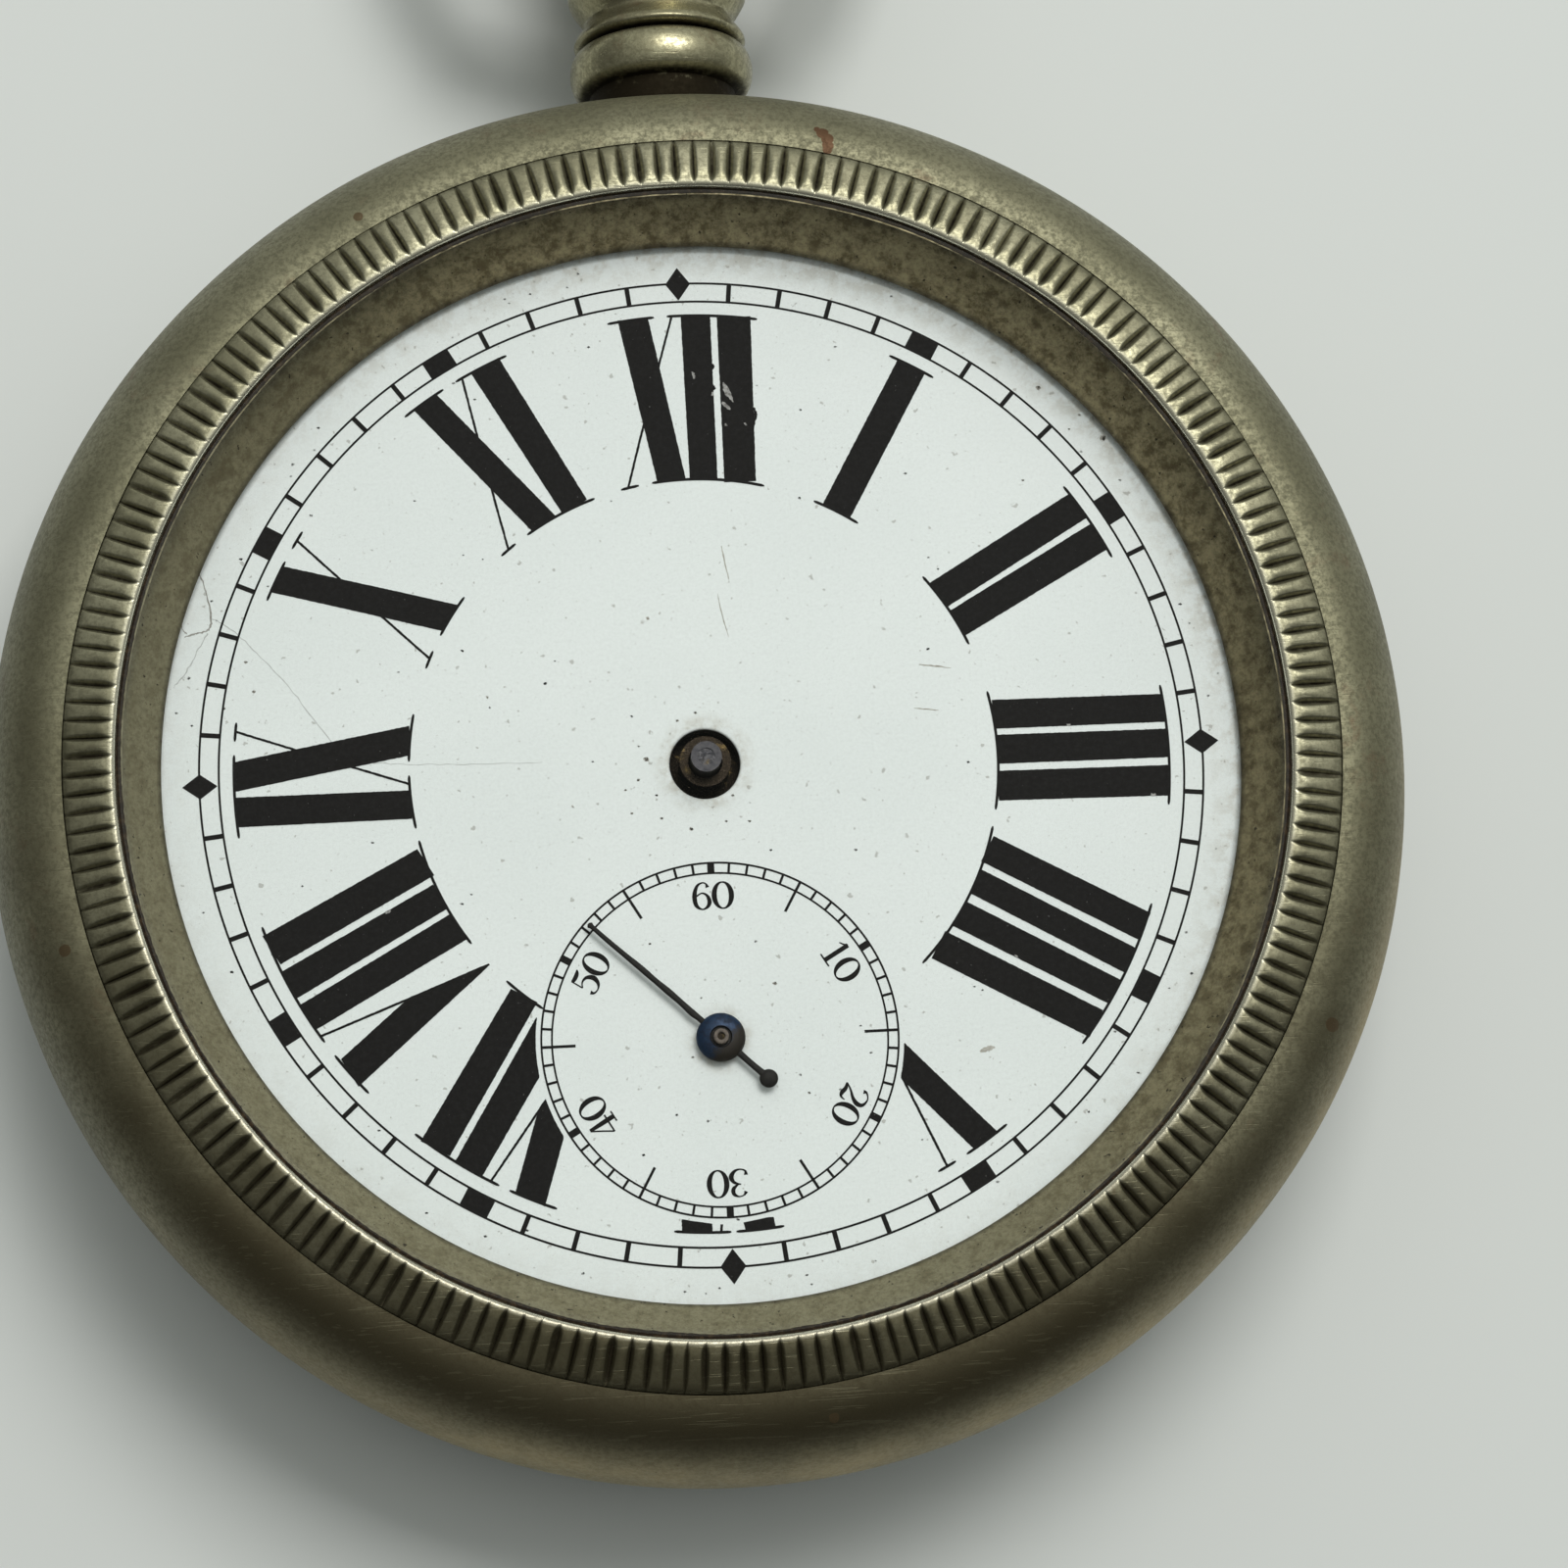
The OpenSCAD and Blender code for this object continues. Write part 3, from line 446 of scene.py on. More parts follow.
def enamel_material():
    """Glossy white enamel with stains round the holes and at the edge, specks and a faint cloudiness."""
    paint = Paint("enamel_white", (0.825, 0.878, 0.855), 0, 0.3, specular=0.15)
    paint.coat((0.8, 0.855, 0.832), paint.noise(0.12, 4, 0.55), 0.35, 0.65)
    patchy = paint.noise(1.3, 6, 0.7)
    from_centre = paint.distance(0, 0)
    edge = paint.between(from_centre, 20.0, DIAL_R - 0.5)
    upper = paint.between(paint.x * 0.66 + paint.y * 0.75, -6, 18, 0.12, 0.55)
    paint.coat((0.42, 0.38, 0.28), edge * (paint.between(patchy, 0.42, 0.62) * upper))
    for x, y, inner, outer in ((0, 0, 1.4, 2.3), (*SECONDS, 0.8, 1.6)):
        near = paint.between(paint.distance(x, y), inner, outer, 1, 0)
        paint.coat((0.4, 0.36, 0.26), near * paint.between(patchy, 0.4, 0.66, 0.04, 0.62))
    # painted shade: the walls of the two holes are darkened
    below = paint.between(paint.z, DIAL_Z - 0.16, DIAL_Z - 0.03, 1, 0)
    paint.coat((0.03, 0.024, 0.014), below * paint.between(from_centre, 15, 19, 1, 0))
    for scale, level, strength in ((2.6, 0.68, 0.5), (7.0, 0.69, 0.4)):
        paint.coat((0.22, 0.2, 0.16), paint.noise(scale, 2, 0.55), level, level + 0.05, 0, strength)
    paint.coat((0.45, 0.46, 0.44), paint.noise(8, 3, 0.8), 0.35, 0.7, 0, 0.16)
    paint.rough(paint.between(paint.noise(2.5, 5, 0.6), 0.3, 0.7, 0.24, 0.38))
    paint.bump(paint.noise(0.5, 3, 0.5), 0.08, 0.05)
    return paint.done()


def ink_material():
    """Fired black paint, nearly matt, with pin holes."""
    paint = Paint("black_print", (0.0065, 0.006, 0.0055), 0, 0.6, specular=0.08)
    paint.coat((0.012, 0.0115, 0.011), paint.noise(5, 4, 0.7), 0.35, 0.75)
    paint.coat((0.16, 0.16, 0.15), paint.noise(6.5, 2, 0.6), 0.735, 0.76, 0, 0.7)
    paint.bump(paint.noise(9, 3, 0.6), 0.25, 0.01)
    return paint.done()


def mottled(name, light, dark, scale=6, start=0.35, end=0.65, roughness=0.6, specular=0.2):
    """Two tones in a fine matt grain."""
    paint = Paint(name, light, 0, roughness, specular=specular)
    paint.coat(dark, paint.noise(scale, 4, 0.7), start, end)
    return paint.done()


def plain_steel(name, light, dark, roughness, metallic=1.0, exposed=None):
    """exposed is the colour of what stands in the open above the dial's back; inside the two holes, what stands lower
    is painted near black as shade
    """
    paint = Paint(name, dark, metallic, roughness)
    grain = paint.noise(6, 4, 0.65)
    paint.coat(light, grain, 0.3, 0.7)
    dirt = paint.noise(1.4, 5, 0.7)
    if exposed:
        centre_hole = paint.between(paint.distance(0, 0), 1.8, 2.2, 1, 0)
        small_hole = paint.between(paint.distance(*SECONDS), 0.6, 0.8, 1, 0)
        # painted shade: inside the two holes, what lies lower than about 0.45 mm over the dial's face is near black
        inside = paint.math("MAXIMUM", centre_hole, small_hole) * paint.between(paint.z, DIAL_Z - 2.3, DIAL_Z - 2.1)
        depth = paint.between(paint.z, DIAL_Z + 0.42, DIAL_Z + 0.48)
        paint.coat(paint.mix(depth, (0.007, 0.0055, 0.004), exposed), inside)
        tip = paint.mix(paint.between(grain, 0.35, 0.65), (0.03, 0.03, 0.033), (0.056, 0.055, 0.057))
        paint.coat(tip, centre_hole * paint.between(paint.z, DIAL_Z + 1.42, DIAL_Z + 1.44))
    paint.coat(tuple(c * 0.35 for c in dark), dirt, 0.55, 0.75, 0, 0.6)
    paint.rough(paint.between(grain, 0.3, 0.7, roughness - 0.05, roughness + 0.1))
    paint.bump(scratches(paint), 0.2, 0.01)
    return paint.done()


def glass_material():
    """Thin clear crystal: see-through, with no more than a trace of haze and a fainter rim."""
    paint = Paint("crystal_clear", (0.4, 0.41, 0.38), 0, 0.2, specular=0.0, ior=1.05)
    paint.coat((0.28, 0.29, 0.26), paint.noise(0.6, 5, 0.6), 0.45, 0.75)
    paint.feed(paint.between(paint.distance(0, 0), 22.75, 23.1, 0.006, 0.07), paint.shader["Alpha"])
    return paint.done()


def boss_material():
    """Blued steel that has gone brown on the side towards 5 o'clock, dark round the pipe."""
    paint = Paint("boss_blued_worn", (0.007, 0.026, 0.064), 0.35, 0.42, specular=0.3)
    grain = paint.noise(4, 4, 0.7)
    paint.coat((0.004, 0.012, 0.03), grain, 0.35, 0.65)
    across = (paint.x - SECONDS.x) - (paint.y - SECONDS.y)
    paint.coat((0.022, 0.018, 0.013), across + grain * 1.2, 0.65, 1.25)
    paint.coat((0.006, 0.005, 0.004), paint.distance(*SECONDS), 0.4, 0.48, 1, 0)
    paint.rough(paint.between(grain, 0.3, 0.7, 0.34, 0.6))
    paint.bump(grain, 0.5, 0.02)
    return paint.done()


def nickel_material():
    """Bridge metal with striped polishing in arcs."""
    paint = Paint("nickel_striped", (0.6, 0.59, 0.57), 1.0, 0.25)
    wave = paint.math("SINE", (paint.x + paint.y) * 2.4)
    paint.coat((0.46, 0.455, 0.44), wave, -0.6, 0.6)
    grain = paint.noise(14, 2, 0.5, paint.mm((1, 0.05, 1), radians(45)))
    paint.coat((0.36, 0.35, 0.33), grain, 0.35, 0.65, 0, 0.25)
    paint.rough(paint.between(wave, -0.8, 0.8, 0.2, 0.36))
    paint.bump(grain, 0.2, 0.01)
    return paint.done()


def ruby_material():
    paint = Paint("ruby_polished", (0.36, 0.012, 0.05), 0, 0.08)
    paint.coat((0.52, 0.03, 0.1), paint.noise(2.2, 3, 0.5), 0.35, 0.65)
    return paint.done()


REHAUT_METAL = rehaut_material()
CRUST = mottled("crystal_edge_dirt", (0.014, 0.009, 0.005), (0.05, 0.032, 0.016), 3.5, 0.45, 0.7, 0.85, 0.15)
ENAMEL = enamel_material()
INK = ink_material()
# bare ground where enamel or ink has come away
SCRATCH = mottled("scratch_grey", (0.5, 0.49, 0.44), (0.31, 0.3, 0.25))
CRACK = mottled("hairline_crack", (0.36, 0.36, 0.33), (0.22, 0.21, 0.18))
FAINT = mottled("faint_crack", (0.58, 0.61, 0.59), (0.45, 0.47, 0.45))
CHIP = mottled("chip_pale", (0.42, 0.42, 0.4), (0.16, 0.155, 0.145))
HAND_DARK = mottled("hand_dark_steel", (0.013, 0.012, 0.009), (0.006, 0.0055, 0.005))
BLUED = plain_steel("blued_steel", (0.014, 0.032, 0.1), (0.006, 0.011, 0.03), 0.4, 0.6)
PIPE_WORN = plain_steel("pipe_worn", (0.15, 0.125, 0.1), (0.06, 0.048, 0.04), 0.55, 0.4)
BOSS_BLUED = boss_material()
STEEL = plain_steel("steel_grey", (0.36, 0.36, 0.37), (0.2, 0.2, 0.21), 0.34, exposed=(0.016, 0.0148, 0.012))
GILT = plain_steel("gilt_frosted", (0.7, 0.5, 0.22), (0.55, 0.38, 0.15), 0.38, exposed=(0.03, 0.022, 0.014))
TRAIN_BRASS = plain_steel("train_brass_polished", (0.78, 0.58, 0.26), (0.62, 0.44, 0.17), 0.24,
                          exposed=(0.02, 0.0155, 0.011))
CRYSTAL = glass_material()
NICKEL = nickel_material()
RUBY = ruby_material()

# ---- case band

BAND_R1 = BEZEL_R + 0.015
BAND_Z0 = BACK_TOP + 0.1
BAND_Z1 = high("case_body").z
WIDEST_Z = 8.0
FOOT_R = 28.15
SPIGOT_Z = low("case_body").z
SEAT_R = 22.75


def wobble(a, r, h, size=0.012):
    """Small hand-made unevenness that closes on itself."""
    return size * (sin(3 * a + 0.7) + 0.7 * sin(7 * a + 2.1 + 0.2 * h) + 0.4 * sin(13 * a + r))


def case_band():
    outer = [(FOOT_R + (CASE_R - FOOT_R) * sin(pi / 2 * t), BAND_Z0 + (WIDEST_Z - BAND_Z0) * t)
             for t in (i / 12 for i in range(13))]
    outer += [(BAND_R1 + (CASE_R - BAND_R1) * cos(a) ** 0.9,
               WIDEST_Z + (BAND_Z1 - WIDEST_Z) * sin(a) ** 1.05)
              for a in (pi / 2 * i / 40 for i in range(1, 41))]
    inner = [(BAND_R1, 12.15), (24.4, 12.15), (24.4, 9.3), (SEAT_R, 9.3), (SEAT_R, 6.4), (25.4, 6.4),
             (25.4, SPIGOT_Z), (26.8, SPIGOT_Z), (26.8, BAND_Z0)]
    count = len(outer)

    def shape(i, j, r, h, a):
        return (r - abs(wobble(a, r, h)), h) if 0 < i < count else (r, h)

    return piece("case_band", *turned(outer + inner, 720, shape=shape), "case", "case_metal", [CASE_METAL])


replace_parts(case_band(), "case_body")

# ---- reeded rings

REEDS = 208
# Places across one reed: the groove's middle is at 0 and the land's middle at 0.5
REED_PLACES = (0, 0.04, 0.09, 0.14, 0.19, 0.25, 0.5, 0.75, 0.81, 0.86, 0.91, 0.96)
GROOVE_HALF = 0.235


def reeded(profile, widths, depth, seed):
    """Revolves a profile with V-shaped grooves. widths scale a groove at each profile point, down to 0."""
    rng = random.Random(seed)
    wear = [rng.uniform(0.82, 1.12) for _ in range(REEDS)]
    lean = [rng.uniform(-0.035, 0.035) for _ in range(REEDS)]
    skew = [rng.uniform(-0.16, 0.16) for _ in range(REEDS)]
    count = len(profile)
    normals = []
    for i in range(count):
        (r0, h0), (r1, h1) = profile[i - 1], profile[(i + 1) % count]
        d = hypot(r1 - r0, h1 - h0) or 1
        normals.append(((h1 - h0) / d, -(r1 - r0) / d))
    steps = REEDS * len(REED_PLACES)
    verts, dirt = [], []
    for i, (r, h) in enumerate(profile):
        wide = widths[i]
        along = i / count
        for n in range(REEDS):
            here = wide * wear[n]
            for u in REED_PLACES:
                a = TAU * (n + u + (lean[n] + skew[n] * along) * min(1, wide * 2)) / REEDS
                off = min(u, 1 - u)
                cut = max(0.0, here - off / GROOVE_HALF) * depth
                crown = 0.03 * wide * (1 - 2 * off) ** 2
                uneven = wobble(a, r, h, 0.006) + 0.01 * wide * sin(5.1 * n + 9 * along) * off
                back = cut + crown
                verts.append(dial_axis(r - normals[i][0] * back + uneven, a, h - normals[i][1] * back))
                dirt.append(min(1.0, 1.5 * max(0.0, here - 2.1 * off / GROOVE_HALF)))
    pairs = [(i * steps, (i + 1) % count * steps) for i in range(count)]
    faces = [(a + j, a + (j + 1) % steps, b + (j + 1) % steps, b + j) for a, b in pairs for j in range(steps)]
    return verts, faces, dirt


LIP_R = 23.22
REHAUT_R0 = 21.67
GROOVE_R = 23.9


def bezel_ring():
    # from the rim's foot over the reeded band, as (distance in from the rim, height, width of the grooves)
    reeds = [(0, 12.2, 0), (0, 12.5, 0), (0, 12.8, 0), (0.02, 12.95, 0.25), (0.1, 13.04, 0.55), (0.24, 13.11, 0.72),
             (0.46, 13.18, 0.82), (0.72, 13.25, 0.9), (0.98, 13.32, 0.97), (1.2, 13.37, 1), (1.38, 13.41, 1),
             (1.54, 13.435, 0.92), (1.68, BEZEL_TOP - 0.005, 0.68), (1.8, BEZEL_TOP, 0.38), (1.92, BEZEL_TOP, 0.1)]
    lip = [(LIP_R + 0.09, BEZEL_TOP - 0.02), (LIP_R + 0.02, BEZEL_TOP - 0.08), (LIP_R, BEZEL_TOP - 0.24)]
    band = [(BEZEL_R - inward, z) for inward, z, _ in reeds] + lip
    inside = [(LIP_R, 12.97), (LIP_R + 0.05, 12.93), (GROOVE_R, 12.8), (GROOVE_R, 12.36), (23.42, 12.27),
              (23.32, 12.2), (23.1, 11.95), (22.8, 11.62), (22.45, 11.26), (22.1, 10.9), (21.85, 10.64),
              (21.72, 10.5), (REHAUT_R0, 10.42), (21.69, 10.28), (22.6, 10.1), (22.9, BEZEL_FOOT),
              (24.3, BEZEL_FOOT), (24.3, 12.2)]
    profile = band + inside
    flat = len(band)
    widths = [width for _, _, width in reeds] + [0] * (len(profile) - len(reeds))
    verts, faces, dirt = reeded(profile, widths, 0.2, 11)
    steps = REEDS * len(REED_PLACES)
    # the rehaut is the stretch from the crystal's groove down to the dial
    tagged = [(face, 1 if flat - 1 <= n // steps < len(profile) - 4 else 0) for n, face in enumerate(faces)]
    ring_dirt = (-0.16, -0.3, -0.9, -0.35, 0.9, 1, 1, 1, 0.9, 0.35, 0.1, None, None, None, None, 0.6, 0.6, 0.6)
    for i, value in enumerate(ring_dirt, flat - 4):
        if value is not None:
            dirt[i * steps:(i + 1) * steps] = [value] * steps
    return piece("bezel_reeded", verts, tagged, "bezel", "bezel_metal", [BEZEL_METAL, REHAUT_METAL], crease=55,
                 dirt=dirt)


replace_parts(bezel_ring(), "bezel")


def crystal_edge():
    """Ragged ring of dirt under the bezel's lip, with a thin clean line on its inner side."""
    z = BEZEL_TOP - 0.28
    steps = 900
    rng = random.Random(31)
    rough_in = [rng.uniform(-1, 1) for _ in range(steps)]

    def shape(i, j, r, h, a):
        if i not in (1, 2):
            return r, h
        wave = 0.025 * sin(5 * a + 1) + 0.02 * sin(23 * a) + 0.018 * rough_in[j]
        return r + wave, h

    ring = slab(LIP_R - 0.02, LIP_R - 0.2, z, z - 0.08)
    piece("crystal_edge_crust", *turned(ring, steps, shape=shape), "bezel", "bezel_metal", [CRUST], smooth=False)
    line = slab(LIP_R - 0.2, LIP_R - 0.255, z - 0.05, z - 0.1)
    piece("crystal_seat_line", *turned(line, 360), "bezel", "bezel_metal", [REHAUT_METAL], smooth=False)


crystal_edge()


def back_piece():
    """A dish with a reeded edge, which is its own closed ring let into the dish."""
    flat_r = 19.0
    rise = 2.4
    quarter = [(sin(pi / 2 * i / 24), cos(pi / 2 * i / 24)) for i in range(1, 25)]
    dish = [(0.0, 0.0), (6.0, 0.0), (13.0, 0.0), (flat_r, 0.0)]
    dish += [(flat_r + (BACK_R - 0.25 - flat_r) * s, rise * (1 - c)) for s, c in quarter]
    dish += [(BACK_R - 0.3, 2.45), (BACK_R - 0.3, BACK_TOP - 0.04), (26.9, BACK_TOP), (26.9, 2.4), (25.6, 2.35)]
    dish += [(18.6 + 7 * c, 2.35 - 1.35 * s) for s, c in quarter[1::2]] + [(10.0, 1.0), (0.0, 1.0)]
    obj = piece("back_dish", *turned(dish, 360, closed=False), "back", "back_metal", [BACK_METAL])
    ring = [(BACK_R - 0.6, 2.5), (BACK_R - 0.2, 2.52), (BACK_R - 0.04, 2.66), (BACK_R, 2.85), (BACK_R, 3.5),
            (BACK_R, 4.0), (BACK_R - 0.06, 4.18), (BACK_R - 0.2, BACK_TOP - 0.02), (BACK_R - 0.5, BACK_TOP),
            (BACK_R - 0.6, BACK_TOP)]
    verts, faces, dirt = reeded(ring, (0, 0, 0.5, 1, 1, 1, 0.5, 0, 0, 0), 0.2, 5)
    piece("back_reeded_edge", verts, faces, "back", "back_metal", [BACK_METAL], crease=55, dirt=dirt)
    return obj


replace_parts(back_piece(), "case_back")

# ---- dial

HOLE_R = 1.42
SMALL_HOLE_R = 0.55
DIAL_T = 0.9


def dial_disc():
    """Enamel disc with its centre hole; the seconds hand's hole is cut from it."""
    edge = rounded([(HOLE_R, DIAL_Z - DIAL_T), (DIAL_R, DIAL_Z - DIAL_T), (DIAL_R, DIAL_Z), (DIAL_R - 0.4, DIAL_Z),
                    (HOLE_R + 0.4, DIAL_Z), (HOLE_R, DIAL_Z)], 0.12, 5)
    disc = piece("enamel_dial", *turned(edge, 360), "case", "enamel", [ENAMEL])
    cutter = shown("cutter", *shifted(turned(
        [(0, DIAL_Z - 2), (SMALL_HOLE_R, DIAL_Z - 2), (SMALL_HOLE_R, DIAL_Z - 0.08), (SMALL_HOLE_R + 0.08, DIAL_Z),
         (SMALL_HOLE_R + 0.08, DIAL_Z + 1), (0, DIAL_Z + 1)], 64, closed=False), *SECONDS))
    hole = disc.modifiers.new("hole", "BOOLEAN")
    hole.operation = "DIFFERENCE"
    hole.object = cutter
    bpy.context.view_layer.update()
    evaluated = disc.evaluated_get(bpy.context.evaluated_depsgraph_get())
    result = bpy.data.meshes.new_from_object(evaluated)
    disc.modifiers.clear()
    disc.data = result
    result.set_sharp_from_angle(angle=radians(25))
    bpy.data.objects.remove(cutter)
    return disc


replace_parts(dial_disc(), "dial")

INK_FOOT = DIAL_Z - 0.02
INK_TOP = DIAL_Z + 0.012
TICK_TOP = INK_TOP + 0.004


def on_dial(angle, s, r, centre=(0.0, 0.0)):
    """Point at radius r along a clockwise angle from 12 o'clock, and s to its clockwise side."""
    a = radians(angle)
    return (centre[0] + r * sin(a) + s * cos(a), centre[1] + r * cos(a) - s * sin(a))


def circle_line(r, width, centre=(0.0, 0.0)):
    """Closed ring of ink."""
    return shifted(turned(slab(r - width / 2, r + width / 2, INK_FOOT, INK_TOP), 360), *centre)


def tick(angle, ends, centre=(0.0, 0.0)):
    """Mark along a radius, through ends of (half width, r)."""
    return strip([(on_dial(angle, -s, r, centre), on_dial(angle, s, r, centre)) for s, r in ends], INK_FOOT, TICK_TOP)


TRACK_OUT = 20.2
TRACK_IN = 19.42
LINE = 0.085
# Quarter-hour marks: middle, half height and half width
DIAMOND_R = TRACK_OUT - 0.02
DIAMOND_TALL = 0.7
DIAMOND_WIDE = 0.51


def minute_track():
    parts = [circle_line(TRACK_OUT, LINE), circle_line(TRACK_IN, LINE)]
    diamond = [(DIAMOND_WIDE * (1 - abs(t)), DIAMOND_R + DIAMOND_TALL * t) for t in (-0.995, -0.5, 0, 0.5, 0.995)]
    for minute in range(60):
        half = 0.095 if minute % 5 else 0.6
        parts.append(tick(6 * minute, [(half, TRACK_IN), (half, TRACK_OUT)] if minute % 15 else diamond))
    return joined(*parts)


NUMERAL_IN = 11.86
NUMERAL_OUT = 18.82
HAIR = 0.1
SERIF = 0.11
SUB_CUT = 7.32
STROKE_LEVELS = 90

# Each hour's strokes across its own axis, clockwise positive. A bar gives its left and right edge at the outer
# end and at the inner end. "v" and "x" are a thick stroke and a hairline, given by its outer and inner end.
# "outer" and "inner" are the ends of the serif lines; an hour of plain bars has one serif across them all.
HOURS = {
    1: {"bars": [(-0.61, 0.65, -0.61, 0.65)]},
    2: {"bars": [(-1.4, -0.16, -1.35, -0.13), (0.13, 1.39, 0.06, 1.26)]},
    3: {"bars": [(-2.03, -0.87, -2.1, -0.9), (-0.58, 0.6, -0.65, 0.55), (0.92, 2.18, 0.84, 2.06)]},
    4: {"bars": [(-2.77, -1.56, -2.69, -1.53), (-1.21, -0.1, -1.24, -0.16), (0.23, 1.32, 0.21, 1.35),
                 (1.66, 2.89, 1.68, 2.92)]},
    5: {"bars": [], "v": (-1.63, -0.45, -0.05, 1.1, 0.82, 0.0), "outer": [(-2.11, -0.1), (0.42, 1.24)]},
    6: {"bars": [(0.74, 1.94, 0.66, 1.86)], "v": (-1.77, -0.55, -0.65, 0.6, 0.4, -0.6),
        "outer": [(-2.1, -0.2), (0.0, 2.25)]},
    7: {"bars": [(0.31, 1.53, 0.0, 1.3), (1.81, 3.1, 1.55, 2.73)], "v": (-2.43, -1.13, -0.97, 0.3, -0.08, -0.92),
        "outer": [(-2.9, -0.9), (-0.45, 3.45)], "inner": [(1.24, 3.06)]},
    8: {"bars": [(-0.68, 0.5, -0.85, 0.37), (0.79, 2.02, 0.61, 1.74), (2.29, 3.63, 2.03, 3.29)],
        "v": (-3.5, -2.2, -2.23, -1.0, -1.0, -2.18), "outer": [(-3.97, -1.95), (-1.29, 3.98)],
        "inner": [(-1.1, 3.6)]},
    9: {"bars": [(-1.71, -0.5, -1.69, -0.53)], "x": (-0.27, 0.94, 0.9, 2.11, 2.19, -0.27),
        "outer": [(-2.16, 1.23), (1.79, 2.56)], "inner": [(-2.1, 0.08), (0.65, 2.6)]},
    10: {"bars": [], "x": (-1.74, -0.55, 0.03, 1.26, 0.65, -1.23), "outer": [(-2.11, -0.34), (0.27, 1.08)],
         "inner": [(-1.66, -0.89), (-0.18, 1.68)]},
    11: {"bars": [(0.87, 2.18, 0.81, 1.97)], "x": (-1.95, -0.79, -0.63, 0.53, 0.45, -1.85),
         "outer": [(-2.4, -0.45), (0.15, 2.5)], "inner": [(-2.24, -1.48), (-0.87, 2.27)]},
    12: {"bars": [(0.05, 1.26, 0.05, 1.18), (1.53, 2.92, 1.45, 2.74)], "x": (-2.55, -1.29, -1.29, -0.11, -0.32, -2.48),
         "outer": [(-2.98, -1.05), (-0.52, 3.2)], "inner": [(-2.8, -2.05), (-1.5, 3.1)]},
}


def numeral_edge(angle, left, right, r, rng):
    """Left and right s of a stroke at radius r after the seconds bit's cut, or None."""
    a = radians(angle)
    along = SECONDS.x * sin(a) + SECONDS.y * cos(a)
    across = SECONDS.x * cos(a) - SECONDS.y * sin(a)
    room = SUB_CUT ** 2 - (r - along) ** 2
    if room > 0:
        half = sqrt(room)
        if left < across - half:
            right = min(right, across - half)
        elif right > across + half:
            left = max(left, across + half)
        else:
            return None
    if right - left < 0.015:
        return None
    return left + rng.uniform(-0.008, 0.008), right + rng.uniform(-0.008, 0.008)


def numeral_stroke(angle, outer, inner, rng, hair=None, top=INK_TOP):
    """A stroke between an outer and an inner interval, ending on its right at the hairline hair (outer, inner end).
    Splits where it is cut."""
    runs, run = [], []
    for i in range(STROKE_LEVELS + 1):
        t = i / STROKE_LEVELS
        left = outer[0] + (inner[0] - outer[0]) * t
        right = outer[1] + (inner[1] - outer[1]) * t
        # the numeral's ends follow the arcs of its serifs
        flat = NUMERAL_OUT + (NUMERAL_IN - NUMERAL_OUT) * t
        r = sqrt(flat * flat - ((left + right) / 2) ** 2)
        if hair:
            down = (NUMERAL_OUT - r) / (NUMERAL_OUT - NUMERAL_IN)
            right = min(right, hair[0] + (hair[1] - hair[0]) * down + HAIR / 2)
        edge = numeral_edge(angle, left, right, r, rng)
        if edge:
            run.append((on_dial(angle, edge[0], r), on_dial(angle, edge[1], r)))
        elif run:
            runs.append(run)
            run = []
    if run:
        runs.append(run)
    return [strip(run, INK_FOOT, top) for run in runs if len(run) > 1]


def serif(angle, left, right, r, top):
    """Hairline arc across a stroke's end, with ends that taper."""
    count = max(6, int((right - left) / 0.12))
    levels = []
    for i in range(count + 1):
        t = i / count
        half = SERIF / 2 * min(1, 0.5 + 5 * (right - left) * min(t, 1 - t))
        a = angle + degrees((left + (right - left) * t) / r)
        levels.append((on_dial(a, 0, r - half), on_dial(a, 0, r + half)))
    return strip(levels, INK_FOOT, top)


def numerals():
    rng = random.Random(4)
    parts = []
    for hour, shape in HOURS.items():
        angle = 30 * hour
        for a, b, c, d in shape["bars"]:
            parts += numeral_stroke(angle, (a, b), (c, d), rng, top=INK_TOP + 0.003)
        cross = shape.get("v") or shape.get("x")
        if cross:
            a, b, c, d, out_s, in_s = cross
            hair = (out_s, in_s) if "v" in shape else None
            parts += numeral_stroke(angle, (a, b), (c, d), rng, hair, INK_TOP + 0.003)
            ends = [(s - HAIR / 2, s + HAIR / 2) for s in (out_s, in_s)]
            parts += numeral_stroke(angle, *ends, rng)
        bars = shape["bars"]
        for r, end, k in ((NUMERAL_OUT, "outer", 0), (NUMERAL_IN, "inner", 2)):
            whole = [] if cross else [(bars[0][k] - 0.38, bars[-1][k + 1] + 0.38)]
            parts += [serif(angle, left, right, r, INK_TOP + 0.006) for left, right in shape.get(end, whole)]
    return joined(*parts)


SUB_OUT = 7.1
SUB_IN = 6.68


def seconds_track():
    parts = [circle_line(SUB_OUT, 0.08, SECONDS), circle_line(SUB_IN, 0.075, SECONDS)]
    for second in range(60):
        inner, half = (SUB_IN, 0.05) if second % 5 else (5.75, 0.055) if second % 10 else (SUB_IN, 0.14)
        parts.append(tick(6 * second, [(half, inner), (half, SUB_OUT)], SECONDS))
    return joined(*parts)


